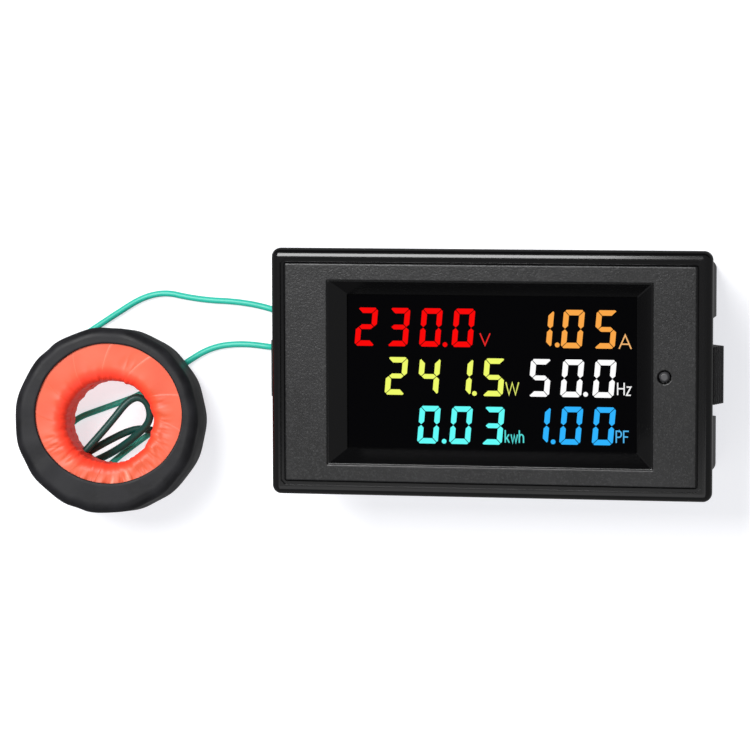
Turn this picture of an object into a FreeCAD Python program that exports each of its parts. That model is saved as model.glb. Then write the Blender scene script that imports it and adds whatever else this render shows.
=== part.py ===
import FreeCAD, Part
import math
import os

# A panel power meter with a clipped-in housing, and its ring current transformer on two leads.
# Lengths are millimetres. The meter lies on its back: the rear face is z = 0, the face looks up,
# X runs along the long side and Y towards the top of the face. The origin is the middle of the rear face.

V = FreeCAD.Vector
X_AXIS = V(1, 0, 0)
Y_AXIS = V(0, 1, 0)
Z_AXIS = V(0, 0, 1)

# Panel cut-out that the meter clips into: the face and the housing take their lengths from it
CUTOUT_LENGTH = 76.0
CUTOUT_HEIGHT = 39.0
CUTOUT_PLAY_LENGTH = 0.2
CUTOUT_PLAY_HEIGHT = 0.4

# Face of the meter
FLANGE_OVERLAP_ENDS = 1.5
FLANGE_OVERLAP_TOP = 2.6
FACE_LENGTH = CUTOUT_LENGTH + 2 * FLANGE_OVERLAP_ENDS
FACE_HEIGHT = CUTOUT_HEIGHT + 2 * FLANGE_OVERLAP_TOP
TOTAL_DEPTH = 25.0
FLANGE_THICKNESS = 2.4
FACE_CORNER_RADIUS = 1.6
RIM_ROUNDING = 1.5
RIM_DROP = 0.25
GROOVE_OUTER = 1.75
GROOVE_INNER = 2.4
GROOVE_DEPTH = 0.4
PLATEAU_INSET = 2.78
PLATEAU_CORNER_RADIUS = 0.5
PLATE_THICKNESS = 2.0
PLATEAU_ROOT = 0.6

# Window: its rim is set in from the edge of the face, and its sloped walls run in to the view
WINDOW_MARGIN_ENDS = 10.3
WINDOW_MARGIN_TOP = 5.6
WINDOW_SLOPE_ENDS = 3.3
WINDOW_SLOPE_TOP = 2.8
WINDOW_LENGTH = FACE_LENGTH - 2 * WINDOW_MARGIN_ENDS
WINDOW_HEIGHT = FACE_HEIGHT - 2 * WINDOW_MARGIN_TOP
VIEW_LENGTH = WINDOW_LENGTH - 2 * WINDOW_SLOPE_ENDS
VIEW_HEIGHT = WINDOW_HEIGHT - 2 * WINDOW_SLOPE_TOP
WINDOW_DEPTH = 2.9
WINDOW_LIP = 0.2
FUNNEL_WALL = 1.2
FUNNEL_ROOT = 0.3
STACK_CLEARANCE = 0.05

# Rear housing
BODY_LENGTH = CUTOUT_LENGTH - CUTOUT_PLAY_LENGTH
BODY_HEIGHT = CUTOUT_HEIGHT - CUTOUT_PLAY_HEIGHT
BODY_END_X = BODY_LENGTH / 2
BODY_WALL = 1.5
BODY_FLOOR = 1.6
BODY_CORNER_RADIUS = 1.6
BODY_REAR_CHAMFER = 0.6
RECESS_HALF_HEIGHT = 9.1
RECESS_DEPTH = 3.3
RECESS_FLOOR_X = BODY_END_X - RECESS_DEPTH
RECESS_WALL = 1.3
GRIP_RIB_COUNT = 3
GRIP_RIB_PITCH = 3.0
GRIP_RIB_SIZE = (0.5, 4.0, 1.0)
GRIP_RIB_OUT = 0.1
GRIP_RIB_Y = 13.8
GRIP_RIB_Z = 10.6
VENT_COUNT = 5
VENT_PITCH = 4.0
VENT_SIZE = (14.0, 1.2)
VENT_X = 15.0

# Skirt of the bezel inside the housing
SKIRT_CLEARANCE = 0.1
SKIRT_THICKNESS = 0.95
SKIRT_DEPTH = 3.2
CATCH_X = 20.0
CATCH_LENGTH = 5.0
CATCH_REACH = 0.75
CATCH_BELOW_FLANGE = 2.4
CATCH_HEIGHT = 1.3
CATCH_ROOT = 0.3
CATCH_CLEARANCE = 0.3
SKIRT_GAP_MARGIN = 0.4

# Snap arms
ARM_HEIGHT = 10.2
ARM_AXIS_INSET = 0.9
ARM_AXIS_X = BODY_END_X - ARM_AXIS_INSET
ARM_AXIS_Z = 9.9
ARM_ROOT_RADIUS = 0.7
ARM_SEAT_CLEARANCE = 0.06
ARM_LEAF = 1.0
ARM_LEAF_FOOT = 0.1
ARM_TIP_BELOW_FLANGE = 1.4
ARM_REACH = 3.0
ARM_STEP = 0.28
ARM_STEP_HEIGHT = 0.8
ARM_STEP_COUNT = 5
ARM_INNER_TIP = 1.1
ARM_INNER_LEAN = 0.25
ARM_HEAD = 2.0
ARM_RAMP_FOOT = 4.7
ARM_RAMP_OUT = 0.8
ARM_RAMP_TOP = 0.3
ARM_SIDE_GAP = 0.3
BRIDGE_BOTTOM_Z = 8.6
BRIDGE_INSET = 0.2
BRIDGE_OUTER_X = BODY_END_X - BRIDGE_INSET
BRIDGE_ROOT = 0.2
BRIDGE_OVER_AXIS = 0.3
CHEEK_WIDTH = 1.0
CHEEK_TOP_Z = 12.6

# Set button and its switch
BUTTON_INSET = 8.3
BUTTON_X = FACE_LENGTH / 2 - BUTTON_INSET
BUTTON_HOLE_RADIUS = 1.25
BUTTON_RADIUS = 0.95
BUTTON_DOME = 0.35
BUTTON_COLLAR_RADIUS = 1.7
BUTTON_COLLAR = 0.5
BUTTON_TRAVEL = 0.35
BUTTON_BELOW_FACE = 0.1
BUTTON_HOLE_DEPTH = 4.0
SWITCH_LENGTH = 3.0
SWITCH_HEIGHT = 6.0
SWITCH_BODY = 2.5
PLUNGER_RADIUS = 0.75
PLUNGER_OUT = 0.5
PLUNGER_IN = 0.7
PLUNGER_CLEARANCE = 0.08
WELL_SPARE_DEPTH = 0.1

# Display stack, from the front to the back: each layer is the view and a margin at the ends and the top
POLARISER = 0.2
GLASS = 0.7
FRONT_GLASS_MARGIN = (2.8, 2.6)
REAR_GLASS_MARGIN = (2.8, 0.7)
FILM_MARGIN = (1.4, 0.3)
TRAY_MARGIN = (2.6, 0.7)
TRAY_DEPTH = 1.1
TRAY_FLOOR = 0.25
TRAY_WALL = 0.9
LAMP_LENGTH = 1.0
LAMP_HEIGHT = 3.5
LAMP_THICKNESS = 0.75
GUIDE_PLAY = 0.1
STRIP_MARGIN = (1.1, 1.65)
STRIP_WIDTH = 1.5

# Boards, with their gap to the housing's inner walls at the ends and the top
DISPLAY_BOARD_THICKNESS = 1.2
DISPLAY_BOARD_GAP = (1.6, 1.3)
POWER_BOARD_THICKNESS = 1.6
POWER_BOARD_GAP = (3.4, 0.4)
POWER_BOARD_Z = 9.4
BOARD_NOTCH_GAP = 0.25
BOSS_INSET = (2.4, 2.3)
BOSS_SIZE = 3.4
BOSS_ROOT = 0.2
POST_INSET = (3.0, 2.6)
POST_SIZE = 4.0
SCREW_SHANK_RADIUS = 0.8
SCREW_HEAD_RADIUS = 1.5
SCREW_HEAD = 1.0
SCREW_GRIP = 3.0
SCREW_END_GAP = 0.4
SCREW_HOLE_PLAY = 0.1
THREAD_PLAY = 0.02
SCREW_SLOT_WIDTH = 0.4
SCREW_SLOT_DEPTH = 0.5

# Parts on the boards: length, height and thickness, then the middle in X and Y
CHIP_STAND = 0.15
CHIP_EDGE = 0.12
LEG_SIZE = (0.4, 1.4, 0.35)
LEG_OUT = 0.5
DRIVER_CHIP_SIZE = (9.0, 6.0, 1.3)
DRIVER_CHIP_PLACE = (-8.0, 2.0)
DRIVER_CHIP_LEGS = (6, 1.4)
MEASURING_CHIP_SIZE = (10.0, 4.0, 1.4)
MEASURING_CHIP_PLACE = (-4.0, 6.0)
MEASURING_CHIP_LEGS = (5, 2.0)
RECTIFIER_SIZE = (4.8, 4.0, 1.4)
RECTIFIER_PLACE = (14.0, -11.0)
RECTIFIER_LEGS = (2, 2.54)
CRYSTAL_SIZE = (10.8, 4.4, 3.4)
CRYSTAL_PLACE = (-4.0, -6.0)
CRYSTAL_RADIUS = 2.1
BURDEN_SIZE = (3.2, 1.6, 0.6)
BURDEN_PLACE = (-18.0, 9.0)
DROPPER_SIZE = (13.0, 6.0, 7.0)
DROPPER_PLACE = (-15.0, 9.5)
DROPPER_EDGE = 0.4
STORAGE_RADIUS = 3.2
STORAGE_LENGTH = 11.0
STORAGE_PLACE = (1.0, -9.5)
DISC_RADIUS = 3.3
DISC_THICKNESS = 2.6
DISC_PLACE = (-16.0, -7.0)
DISC_DROP = 3.5
DISC_LEG = 0.5
DISC_LEG_SPREAD = 2.5
FUSE_RADIUS = 1.5
FUSE_LENGTH = 8.0
FUSE_PLACE = (16.0, 4.0)
FUSE_DROP = 1.9
FUSE_LEG = 0.6
FUSE_LEG_OUT = 2.0
LINK_INSET = (9.0, 9.4)
LINK_PIN_COUNT = 5
LINK_PITCH = 2.54
LINK_WIDTH = 2.4
LINK_HEIGHT = 2.5
LINK_PIN = 0.64

# Terminal block
POLE_COUNT = 4
POLE_PITCH = 5.08
BLOCK_INSET = 0.2
BLOCK_OUTER_X = BLOCK_INSET - RECESS_FLOOR_X
BLOCK_WIDTH = 7.8
BLOCK_END_WALL = 0.25
BLOCK_REAR_Z = 0.5
CHAMBER_HEIGHT = 4.0
CHAMBER_WIDTH = 5.4
CHAMBER_BOTTOM_Z = 0.9
CHAMBER_SHIFT = 0.9
ENTRY_DEPTH = 3.0
ENTRY_HEIGHT = 3.4
ENTRY_BOTTOM_Z = 4.0
ENTRY_TOP_Z = 7.3
DRIVER_HOLE_RADIUS = 1.2
BAR_THICKNESS = 0.6
BAR_BOTTOM_Z = 4.35
BAR_HEIGHT = 2.0
BAR_END_GAP = 0.3
BAR_PLAY = 0.02
PIN_SIZE = 0.7
PIN_TOP_Z = 12.4
PIN_INSET = 1.3
PIN_HOLE_PLAY = 0.3
BLOCK_PLAY = 0.3
CAGE_HEIGHT = 3.5
CAGE_WIDTH = 3.4
CAGE_WALL = 0.55
CAGE_BOTTOM_Z = 2.35
CAGE_TOP_WALL = 0.6
CAGE_NUT = 0.8
CAGE_TRAVEL = 0.9
CAGE_ROOM = 0.4
CAGE_WIRE_PLAY = 0.1
CLAMP_SCREW_RADIUS = 1.2
CLAMP_SCREW_CLEARANCE = 0.06
CLAMP_HEAD_RADIUS = 1.6
CLAMP_HEAD_Z = (0.95, 2.15)
CLAMP_SLOT = (0.5, 0.6)
CLAMP_TIP_GAP = 0.05

# Ring current transformer
RING_PLACE = (-73.15, -10.9)
RING_REST_Z = 1.38
RING_TILT_DEG = 7.0
RING_TILT_AZIMUTH_DEG = 56.3
RING_OUTER_RADIUS = 17.05
RING_HOLE_RADII = (8.1, 7.65)
RING_HOLE_SHIFT = (0.45, -0.25)
RING_THICKNESS = 12.5
BAND_THICKNESS = 0.55
BAND_LAP_WIDTHS = (3.45, 4.25)
BAND_LAP_SHIFT = (0.6, 1.3)
BAND_FACET_SWELL = 0.1
RING_STATIONS = 40
INNER_STATIONS = 16
TAPE_THICKNESS = 0.3
TAPE_LAP_HEIGHT = 0.1
BAND_SEAT_CLEARANCE = 0.03
WINDING_THICKNESS = 1.2
SECTION_OUTER_ROUNDING = 1.2
SECTION_INNER_ROUNDING = 2.4
CORE_ROUNDING = 0.4
BAND_HIDDEN_REACH = 4.0
BAND_HIDDEN_ROUNDING = 0.5

# Leads
LEAD_DIAMETER = 1.15
SLEEVE_DIAMETER = 1.4
FERRULE_DIAMETER = 1.05
FERRULE_LENGTH = 5.1
LEAD_IN_BLOCK = 0.5
LEAD_START_X = BLOCK_OUTER_X + LEAD_IN_BLOCK
ENTRY_Z = 5.5
BEND_SHARE = 0.45
CORD_FLATS = 6

os.makedirs("parts", exist_ok=True)
written = []


def export(name, shape):
    if len(shape.Solids) == 1:
        shape = shape.Solids[0]
    shape.exportStep("parts/" + name + ".step")
    written.append(name)


def block(length, height, depth, x=0.0, y=0.0, z=0.0):
    """A box centred on x and y that stands on z."""
    return Part.makeBox(length, height, depth, V(x - length / 2, y - height / 2, z))


def rounded_block(length, height, depth, radius, z=0.0, x=0.0, y=0.0):
    body = block(length, height, depth, x, y, z)
    upright = [e for e in body.Edges if abs(e.tangentAt(e.FirstParameter).z) > 0.99]
    return body.makeFillet(radius, upright)


def rod(radius, depth, x, y, z, direction=Z_AXIS):
    return Part.makeCylinder(radius, depth, V(x, y, z), direction)


def frustum(lower, upper, z_low, z_high):
    """A straight-sided block that runs from one rectangle to another."""
    wires = []
    for size, z in ((lower, z_low), (upper, z_high)):
        a, b = size[0] / 2, size[1] / 2
        corners = [V(-a, -b, z), V(a, -b, z), V(a, b, z), V(-a, b, z), V(-a, -b, z)]
        wires.append(Part.makePolygon(corners))
    return Part.makeLoft(wires, True, True)


def prism(points, push):
    """A flat outline pushed along a vector."""
    closed = [V(*p) for p in points] + [V(*points[0])]
    return Part.Face(Part.makePolygon(closed)).extrude(push)


def hexagon(radius, depth, x, y, z):
    """A six-sided rod, as the small board screws and their holes are drawn."""
    corners = []
    for index in range(6):
        turn = math.pi * index / 3
        corners.append((x + radius * math.cos(turn), y + radius * math.sin(turn), z))
    return prism(corners, V(0, 0, depth))


# Heights worked out from the stack
front_z = TOTAL_DEPTH
flange_back_z = front_z - FLANGE_THICKNESS
skirt_bottom_z = flange_back_z - SKIRT_DEPTH
catch_bottom_z = flange_back_z - CATCH_BELOW_FLANGE
arm_tip_z = flange_back_z - ARM_TIP_BELOW_FLANGE
plate_back_z = front_z - PLATE_THICKNESS
funnel_end_z = front_z - WINDOW_DEPTH - STACK_CLEARANCE
stack_top_z = funnel_end_z - STACK_CLEARANCE
front_glass_z = stack_top_z - POLARISER - GLASS
rear_glass_z = front_glass_z - GLASS
film_z = rear_glass_z - POLARISER
tray_z = film_z - TRAY_DEPTH
display_board_top = tray_z
display_board_z = display_board_top - DISPLAY_BOARD_THICKNESS
power_top = POWER_BOARD_Z + POWER_BOARD_THICKNESS
block_length = POLE_PITCH * POLE_COUNT + 2 * BLOCK_END_WALL
inner_length = BODY_LENGTH - 2 * BODY_WALL
inner_height = BODY_HEIGHT - 2 * BODY_WALL
skirt_length = inner_length - 2 * SKIRT_CLEARANCE
skirt_height = inner_height - 2 * SKIRT_CLEARANCE
bulge_x = RECESS_FLOOR_X - RECESS_WALL
bulge_half = RECESS_HALF_HEIGHT + RECESS_WALL


def inside(gaps):
    """The housing's inner length and height less a gap at each end and one at the top and bottom."""
    return (inner_length - 2 * gaps[0], inner_height - 2 * gaps[1])


def four_corners(size, inset):
    """The four points that lie in from the corners of a centred rectangle."""
    half_x = size[0] / 2 - inset[0]
    half_y = size[1] / 2 - inset[1]
    return [(sx * half_x, sy * half_y) for sx in (-1, 1) for sy in (-1, 1)]


display_board_size = inside(DISPLAY_BOARD_GAP)
power_board_size = inside(POWER_BOARD_GAP)
boss_points = four_corners(display_board_size, BOSS_INSET)
post_points = four_corners(power_board_size, POST_INSET)
power_screw_points = [post_points[0], post_points[3]]


# Front bezel: rounded rim, groove, raised face, window with sloped walls
def grown(size, margin):
    """A rectangle that is larger by the margin on every side."""
    return (size[0] + 2 * margin, size[1] + 2 * margin)


def make_face():
    """The flange with its groove and the raised face on it."""
    rim_z = front_z - RIM_DROP
    flange = rounded_block(
        FACE_LENGTH, FACE_HEIGHT, rim_z - flange_back_z, FACE_CORNER_RADIUS, flange_back_z)
    rim_edges = [e for e in flange.Edges if e.BoundBox.ZMin > rim_z - 0.01]
    flange = flange.makeFillet(RIM_ROUNDING, rim_edges)
    groove_length = FACE_LENGTH - 2 * GROOVE_OUTER
    groove_height = FACE_HEIGHT - 2 * GROOVE_OUTER
    groove = block(groove_length, groove_height, 2 * GROOVE_DEPTH, z=rim_z - GROOVE_DEPTH)
    upright = [e for e in groove.Edges if abs(e.tangentAt(e.FirstParameter).z) > 0.99]
    groove = groove.makeChamfer(FACE_CORNER_RADIUS / 2, upright)
    raised = rounded_block(
        FACE_LENGTH - 2 * GROOVE_INNER, FACE_HEIGHT - 2 * GROOVE_INNER, PLATE_THICKNESS - PLATEAU_ROOT,
        PLATEAU_CORNER_RADIUS, plate_back_z + PLATEAU_ROOT)
    raised_edges = [e for e in raised.Edges if e.BoundBox.ZMin > front_z - 0.01]
    raised = raised.makeChamfer(PLATEAU_INSET - GROOVE_INNER, raised_edges)
    return flange.cut(groove).fuse(raised)


def make_skirt():
    """The wall behind the face that goes into the housing, open where the arm recesses are."""
    depth = plate_back_z - skirt_bottom_z
    outer = block(skirt_length, skirt_height, depth + FUNNEL_ROOT, z=skirt_bottom_z)
    inner = block(
        skirt_length - 2 * SKIRT_THICKNESS, skirt_height - 2 * SKIRT_THICKNESS, depth, z=skirt_bottom_z)
    skirt = outer.cut(inner)
    gap_length = skirt_length / 2 - bulge_x + SKIRT_GAP_MARGIN
    for side in (-1, 1):
        gap = block(
            2 * gap_length, 2 * (bulge_half + SKIRT_GAP_MARGIN), flange_back_z - skirt_bottom_z,
            side * (bulge_x - SKIRT_GAP_MARGIN + gap_length), 0, skirt_bottom_z)
        skirt = skirt.cut(gap)
    return skirt


def make_catch(sx, sy):
    """A ramped catch on the skirt's long side, for a window in the housing's wall."""
    start_x = sx * CATCH_X - CATCH_LENGTH / 2
    wall_y = skirt_height / 2
    top_z = catch_bottom_z + CATCH_HEIGHT
    outline = [
        (wall_y, catch_bottom_z), (wall_y + CATCH_REACH, top_z), (wall_y - CATCH_ROOT, top_z),
        (wall_y - CATCH_ROOT, catch_bottom_z)]
    return prism([(start_x, sy * y, z) for y, z in outline], V(CATCH_LENGTH, 0, 0))


def make_bezel():
    view = (VIEW_LENGTH, VIEW_HEIGHT)
    window = (WINDOW_LENGTH, WINDOW_HEIGHT)
    body = make_face().fuse(make_skirt())
    body = body.fuse(frustum(
        grown(view, FUNNEL_WALL), grown(window, FUNNEL_WALL), funnel_end_z, front_z - FUNNEL_ROOT))
    body = body.cut(frustum(view, window, funnel_end_z, front_z))
    body = body.cut(frustum(
        grown(window, -WINDOW_LIP / 2), grown(window, WINDOW_LIP * 3 / 2),
        front_z - WINDOW_LIP, front_z + WINDOW_LIP))
    boss_height = plate_back_z - display_board_top + BOSS_ROOT
    for x, y in boss_points:
        body = body.fuse(block(BOSS_SIZE, BOSS_SIZE, boss_height, x, y, display_board_top))
        body = body.cut(hexagon(SCREW_SHANK_RADIUS + THREAD_PLAY, SCREW_GRIP, x, y, display_board_top))
    for sx in (-1, 1):
        for sy in (-1, 1):
            body = body.fuse(make_catch(sx, sy))
    body = body.cut(rod(BUTTON_HOLE_RADIUS, BUTTON_HOLE_DEPTH, BUTTON_X, 0, front_z - BUTTON_HOLE_DEPTH))
    return body.removeSplitter()


export("front_bezel", make_bezel())


# Rear housing: open-fronted box with a recess for a snap arm at each end and a notch for the terminals
def make_bridge(side):
    """The cross piece in a recess that holds an arm's root in a round seat, with a cheek at each end."""
    seat_length = ARM_HEIGHT + 2 * ARM_SIDE_GAP
    length = BRIDGE_OUTER_X - RECESS_FLOOR_X + BRIDGE_ROOT
    middle_x = side * (BRIDGE_OUTER_X - length / 2)
    top_z = ARM_AXIS_Z + BRIDGE_OVER_AXIS
    bridge = block(
        length, seat_length + 2 * CHEEK_WIDTH, top_z - BRIDGE_BOTTOM_Z, middle_x, 0, BRIDGE_BOTTOM_Z)
    way_out = block(
        4 * ARM_ROOT_RADIUS, seat_length, top_z, side * (ARM_AXIS_X + 2 * ARM_ROOT_RADIUS), 0, ARM_AXIS_Z)
    bridge = bridge.cut(way_out)
    for end in (-1, 1):
        cheek_y = end * (seat_length / 2 + CHEEK_WIDTH / 2)
        cheek = block(length, CHEEK_WIDTH, CHEEK_TOP_Z - BRIDGE_BOTTOM_Z, middle_x, cheek_y, BRIDGE_BOTTOM_Z)
        bridge = bridge.fuse(cheek)
    seat_radius = ARM_ROOT_RADIUS + ARM_SEAT_CLEARANCE
    return bridge.cut(rod(seat_radius, seat_length, side * ARM_AXIS_X, -seat_length / 2, ARM_AXIS_Z, Y_AXIS))


def make_housing():
    body = rounded_block(BODY_LENGTH, BODY_HEIGHT, flange_back_z, BODY_CORNER_RADIUS)
    rear_edges = [e for e in body.Edges if e.BoundBox.ZMax < 0.01]
    body = body.makeChamfer(BODY_REAR_CHAMFER, rear_edges)
    cavity = block(inner_length, inner_height, flange_back_z, z=BODY_FLOOR)
    end_depth = BODY_END_X
    for side in (-1, 1):
        cavity = cavity.cut(block(
            end_depth, 2 * bulge_half, 2 * flange_back_z, side * (bulge_x + end_depth / 2), 0, 0))
    body = body.cut(cavity)
    for side in (-1, 1):
        recess_x = side * (RECESS_FLOOR_X + end_depth / 2)
        body = body.cut(block(end_depth, 2 * RECESS_HALF_HEIGHT, 2 * flange_back_z, recess_x, 0, 0))
        body = body.fuse(make_bridge(side))
        rib_x = side * (BODY_END_X + GRIP_RIB_OUT - GRIP_RIB_SIZE[0] / 2)
        for level in range(GRIP_RIB_COUNT):
            rib_z = GRIP_RIB_Z + GRIP_RIB_PITCH * level
            for end in (-1, 1):
                body = body.fuse(block(*GRIP_RIB_SIZE, rib_x, end * GRIP_RIB_Y, rib_z))
    notch_inner_x = BLOCK_OUTER_X + BLOCK_WIDTH + BLOCK_PLAY
    notch = block(
        end_depth, block_length + BLOCK_PLAY, POWER_BOARD_Z, notch_inner_x - end_depth / 2, 0, 0)
    bridge_keep = block(
        BRIDGE_OUTER_X + BLOCK_OUTER_X, 2 * RECESS_HALF_HEIGHT, POWER_BOARD_Z,
        -(BRIDGE_OUTER_X - BLOCK_OUTER_X) / 2, 0, BRIDGE_BOTTOM_Z)
    body = body.cut(notch.cut(bridge_keep))
    for x, y in post_points:
        body = body.fuse(block(POST_SIZE, POST_SIZE, POWER_BOARD_Z - BODY_FLOOR / 2, x, y, BODY_FLOOR / 2))
    for x, y in power_screw_points:
        hole = hexagon(SCREW_SHANK_RADIUS + THREAD_PLAY, SCREW_GRIP, x, y, POWER_BOARD_Z - SCREW_GRIP)
        body = body.cut(hole)
    for sx in (-1, 1):
        for sy in (-1, 1):
            body = body.cut(block(
                CATCH_LENGTH + 2 * CATCH_CLEARANCE, 2 * BODY_WALL, CATCH_HEIGHT + 2 * CATCH_CLEARANCE,
                sx * CATCH_X, sy * (inner_height / 2 + BODY_WALL), catch_bottom_z - CATCH_CLEARANCE))
    for row in range(VENT_COUNT):
        vent_y = VENT_PITCH * (row - (VENT_COUNT - 1) / 2)
        body = body.cut(block(*VENT_SIZE, 2 * BODY_FLOOR, VENT_X, vent_y, -BODY_FLOOR / 2))
    return body.removeSplitter()


export("rear_housing", make_housing())


# Snap arms: a sprung leaf with a rounded root and a stepped catch
def make_arm(side):
    half_leaf = ARM_LEAF / 2
    leaf_foot = ARM_AXIS_Z + ARM_LEAF_FOOT
    reach_x = BODY_END_X + ARM_REACH
    inner_tip_x = BODY_END_X + ARM_INNER_TIP
    step_foot_z = arm_tip_z - (ARM_STEP_COUNT - 1) * ARM_STEP_HEIGHT
    outline = [
        (ARM_AXIS_X - half_leaf, leaf_foot),
        (ARM_AXIS_X + half_leaf, leaf_foot),
        (ARM_AXIS_X + half_leaf + ARM_RAMP_OUT, ARM_AXIS_Z + ARM_RAMP_FOOT),
        (reach_x, step_foot_z - ARM_RAMP_TOP)]
    for step in range(ARM_STEP_COUNT):
        x = reach_x - step * ARM_STEP
        z = step_foot_z + step * ARM_STEP_HEIGHT
        if step > 0:
            outline.append((x, z - ARM_STEP_HEIGHT))
        outline.append((x, z))
    outline.append((reach_x - ARM_STEP_COUNT * ARM_STEP, arm_tip_z))
    outline.append((inner_tip_x, arm_tip_z))
    outline.append((inner_tip_x - ARM_INNER_LEAN, arm_tip_z - ARM_HEAD))
    leaf = prism([(side * x, -ARM_HEIGHT / 2, z) for x, z in outline], V(0, ARM_HEIGHT, 0))
    root = rod(ARM_ROOT_RADIUS, ARM_HEIGHT, side * ARM_AXIS_X, -ARM_HEIGHT / 2, ARM_AXIS_Z, Y_AXIS)
    return leaf.fuse(root).removeSplitter()


export("snap_arm_left", make_arm(-1))
export("snap_arm_right", make_arm(1))


# Display stack
def widened(margin):
    """The view's length and height with a margin at each end and one at the top and bottom."""
    return (VIEW_LENGTH + 2 * margin[0], VIEW_HEIGHT + 2 * margin[1])


def flat(size, thickness, z):
    return block(size[0], size[1], thickness, z=z)


film_size = widened(FILM_MARGIN)
tray_size = widened(TRAY_MARGIN)
export("display_front_polariser", flat(film_size, POLARISER, stack_top_z - POLARISER))
export("display_front_glass", flat(widened(FRONT_GLASS_MARGIN), GLASS, front_glass_z))
export("display_rear_glass", flat(widened(REAR_GLASS_MARGIN), GLASS, rear_glass_z))
export("colour_film", flat(film_size, POLARISER, film_z))
tray_cavity = grown(tray_size, -TRAY_WALL)
tray = flat(tray_size, TRAY_DEPTH, tray_z).cut(flat(tray_cavity, TRAY_DEPTH, tray_z + TRAY_FLOOR))
export("reflector_tray", tray)
guide_length = tray_cavity[0] - 2 * (LAMP_LENGTH + GUIDE_PLAY)
guide_z = tray_z + TRAY_FLOOR
export("light_guide", flat((guide_length, tray_cavity[1] - GUIDE_PLAY), TRAY_DEPTH - TRAY_FLOOR, guide_z))
for name, side in (("backlight_lamp_left", -1), ("backlight_lamp_right", 1)):
    lamp_x = side * (guide_length / 2 + GUIDE_PLAY / 2 + LAMP_LENGTH / 2)
    export(name, block(LAMP_LENGTH - GUIDE_PLAY, LAMP_HEIGHT, LAMP_THICKNESS, lamp_x, 0, guide_z))
strip_depth = front_glass_z - display_board_top
strip_length = VIEW_LENGTH + 2 * STRIP_MARGIN[0]
strip_y = VIEW_HEIGHT / 2 + STRIP_MARGIN[1]
for name, side in (("contact_strip_top", 1), ("contact_strip_bottom", -1)):
    export(name, block(strip_length, STRIP_WIDTH, strip_depth, 0, side * strip_y, display_board_top))


# Boards
def notched_board(size, thickness, z, hole_points):
    """A board with a notch at each end for the housing's recess, and its screw holes."""
    board = block(size[0], size[1], thickness, z=z)
    half_notch = bulge_half + BOARD_NOTCH_GAP
    notch_length = size[0] / 2
    for side in (-1, 1):
        notch_x = side * (bulge_x - BOARD_NOTCH_GAP + notch_length / 2)
        board = board.cut(block(notch_length, 2 * half_notch, thickness, notch_x, 0, z))
    for x, y in hole_points:
        board = board.cut(hexagon(SCREW_SHANK_RADIUS + SCREW_HOLE_PLAY, thickness, x, y, z))
    return board


display_board = notched_board(display_board_size, DISPLAY_BOARD_THICKNESS, display_board_z, boss_points)
export("display_board", display_board)
power_board = notched_board(power_board_size, POWER_BOARD_THICKNESS, POWER_BOARD_Z, power_screw_points)
pin_hole = PIN_SIZE + PIN_HOLE_PLAY
pin_x = BLOCK_OUTER_X + BLOCK_WIDTH - PIN_INSET
pole_ys = [POLE_PITCH * (index - (POLE_COUNT - 1) / 2) for index in range(POLE_COUNT)]
for pole_y in pole_ys:
    power_board = power_board.cut(block(
        pin_hole, pin_hole, POWER_BOARD_THICKNESS, pin_x, pole_y, POWER_BOARD_Z))
export("power_board", power_board)


def board_screw(x, y, seat_z, board_thickness, way):
    """A screw whose head bears on the board at seat_z; way is 1 when the shank runs up, -1 when down."""
    shank_length = SCREW_GRIP + board_thickness - SCREW_END_GAP
    head_z = seat_z - SCREW_HEAD if way > 0 else seat_z
    shank_z = seat_z if way > 0 else seat_z - shank_length
    slot_z = head_z if way > 0 else head_z + SCREW_HEAD - SCREW_SLOT_DEPTH
    head = hexagon(SCREW_HEAD_RADIUS, SCREW_HEAD, x, y, head_z)
    slot = block(2 * SCREW_HEAD_RADIUS, SCREW_SLOT_WIDTH, SCREW_SLOT_DEPTH, x, y, slot_z)
    return head.cut(slot).fuse(hexagon(SCREW_SHANK_RADIUS, shank_length, x, y, shank_z)).removeSplitter()


for index, (x, y) in enumerate(boss_points):
    export(f"display_board_screw_{index + 1}", board_screw(x, y, display_board_z, DISPLAY_BOARD_THICKNESS, 1))
for index, (x, y) in enumerate(power_screw_points):
    export(f"power_board_screw_{index + 1}", board_screw(x, y, power_top, POWER_BOARD_THICKNESS, -1))


# Chips and other parts on the boards
def chip(size, place, legs, seat_z, way):
    """A moulded chip with a row of legs on its two long sides; way is 1 on a board's top, -1 below it."""
    length, height, thickness = size
    x, y = place
    body_z = seat_z + CHIP_STAND if way > 0 else seat_z - CHIP_STAND - thickness
    leg_z = seat_z if way > 0 else seat_z - LEG_SIZE[2]
    body = block(length, height, thickness, x, y, body_z)
    body = body.makeChamfer(CHIP_EDGE, [e for e in body.Edges if abs(e.tangentAt(e.FirstParameter).z) > 0.99])
    count, pitch = legs
    for index in range(count):
        leg_x = x + pitch * (index - (count - 1) / 2)
        for side in (-1, 1):
            body = body.fuse(block(*LEG_SIZE, leg_x, y + side * (height / 2 + LEG_OUT), leg_z))
    return body


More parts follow.
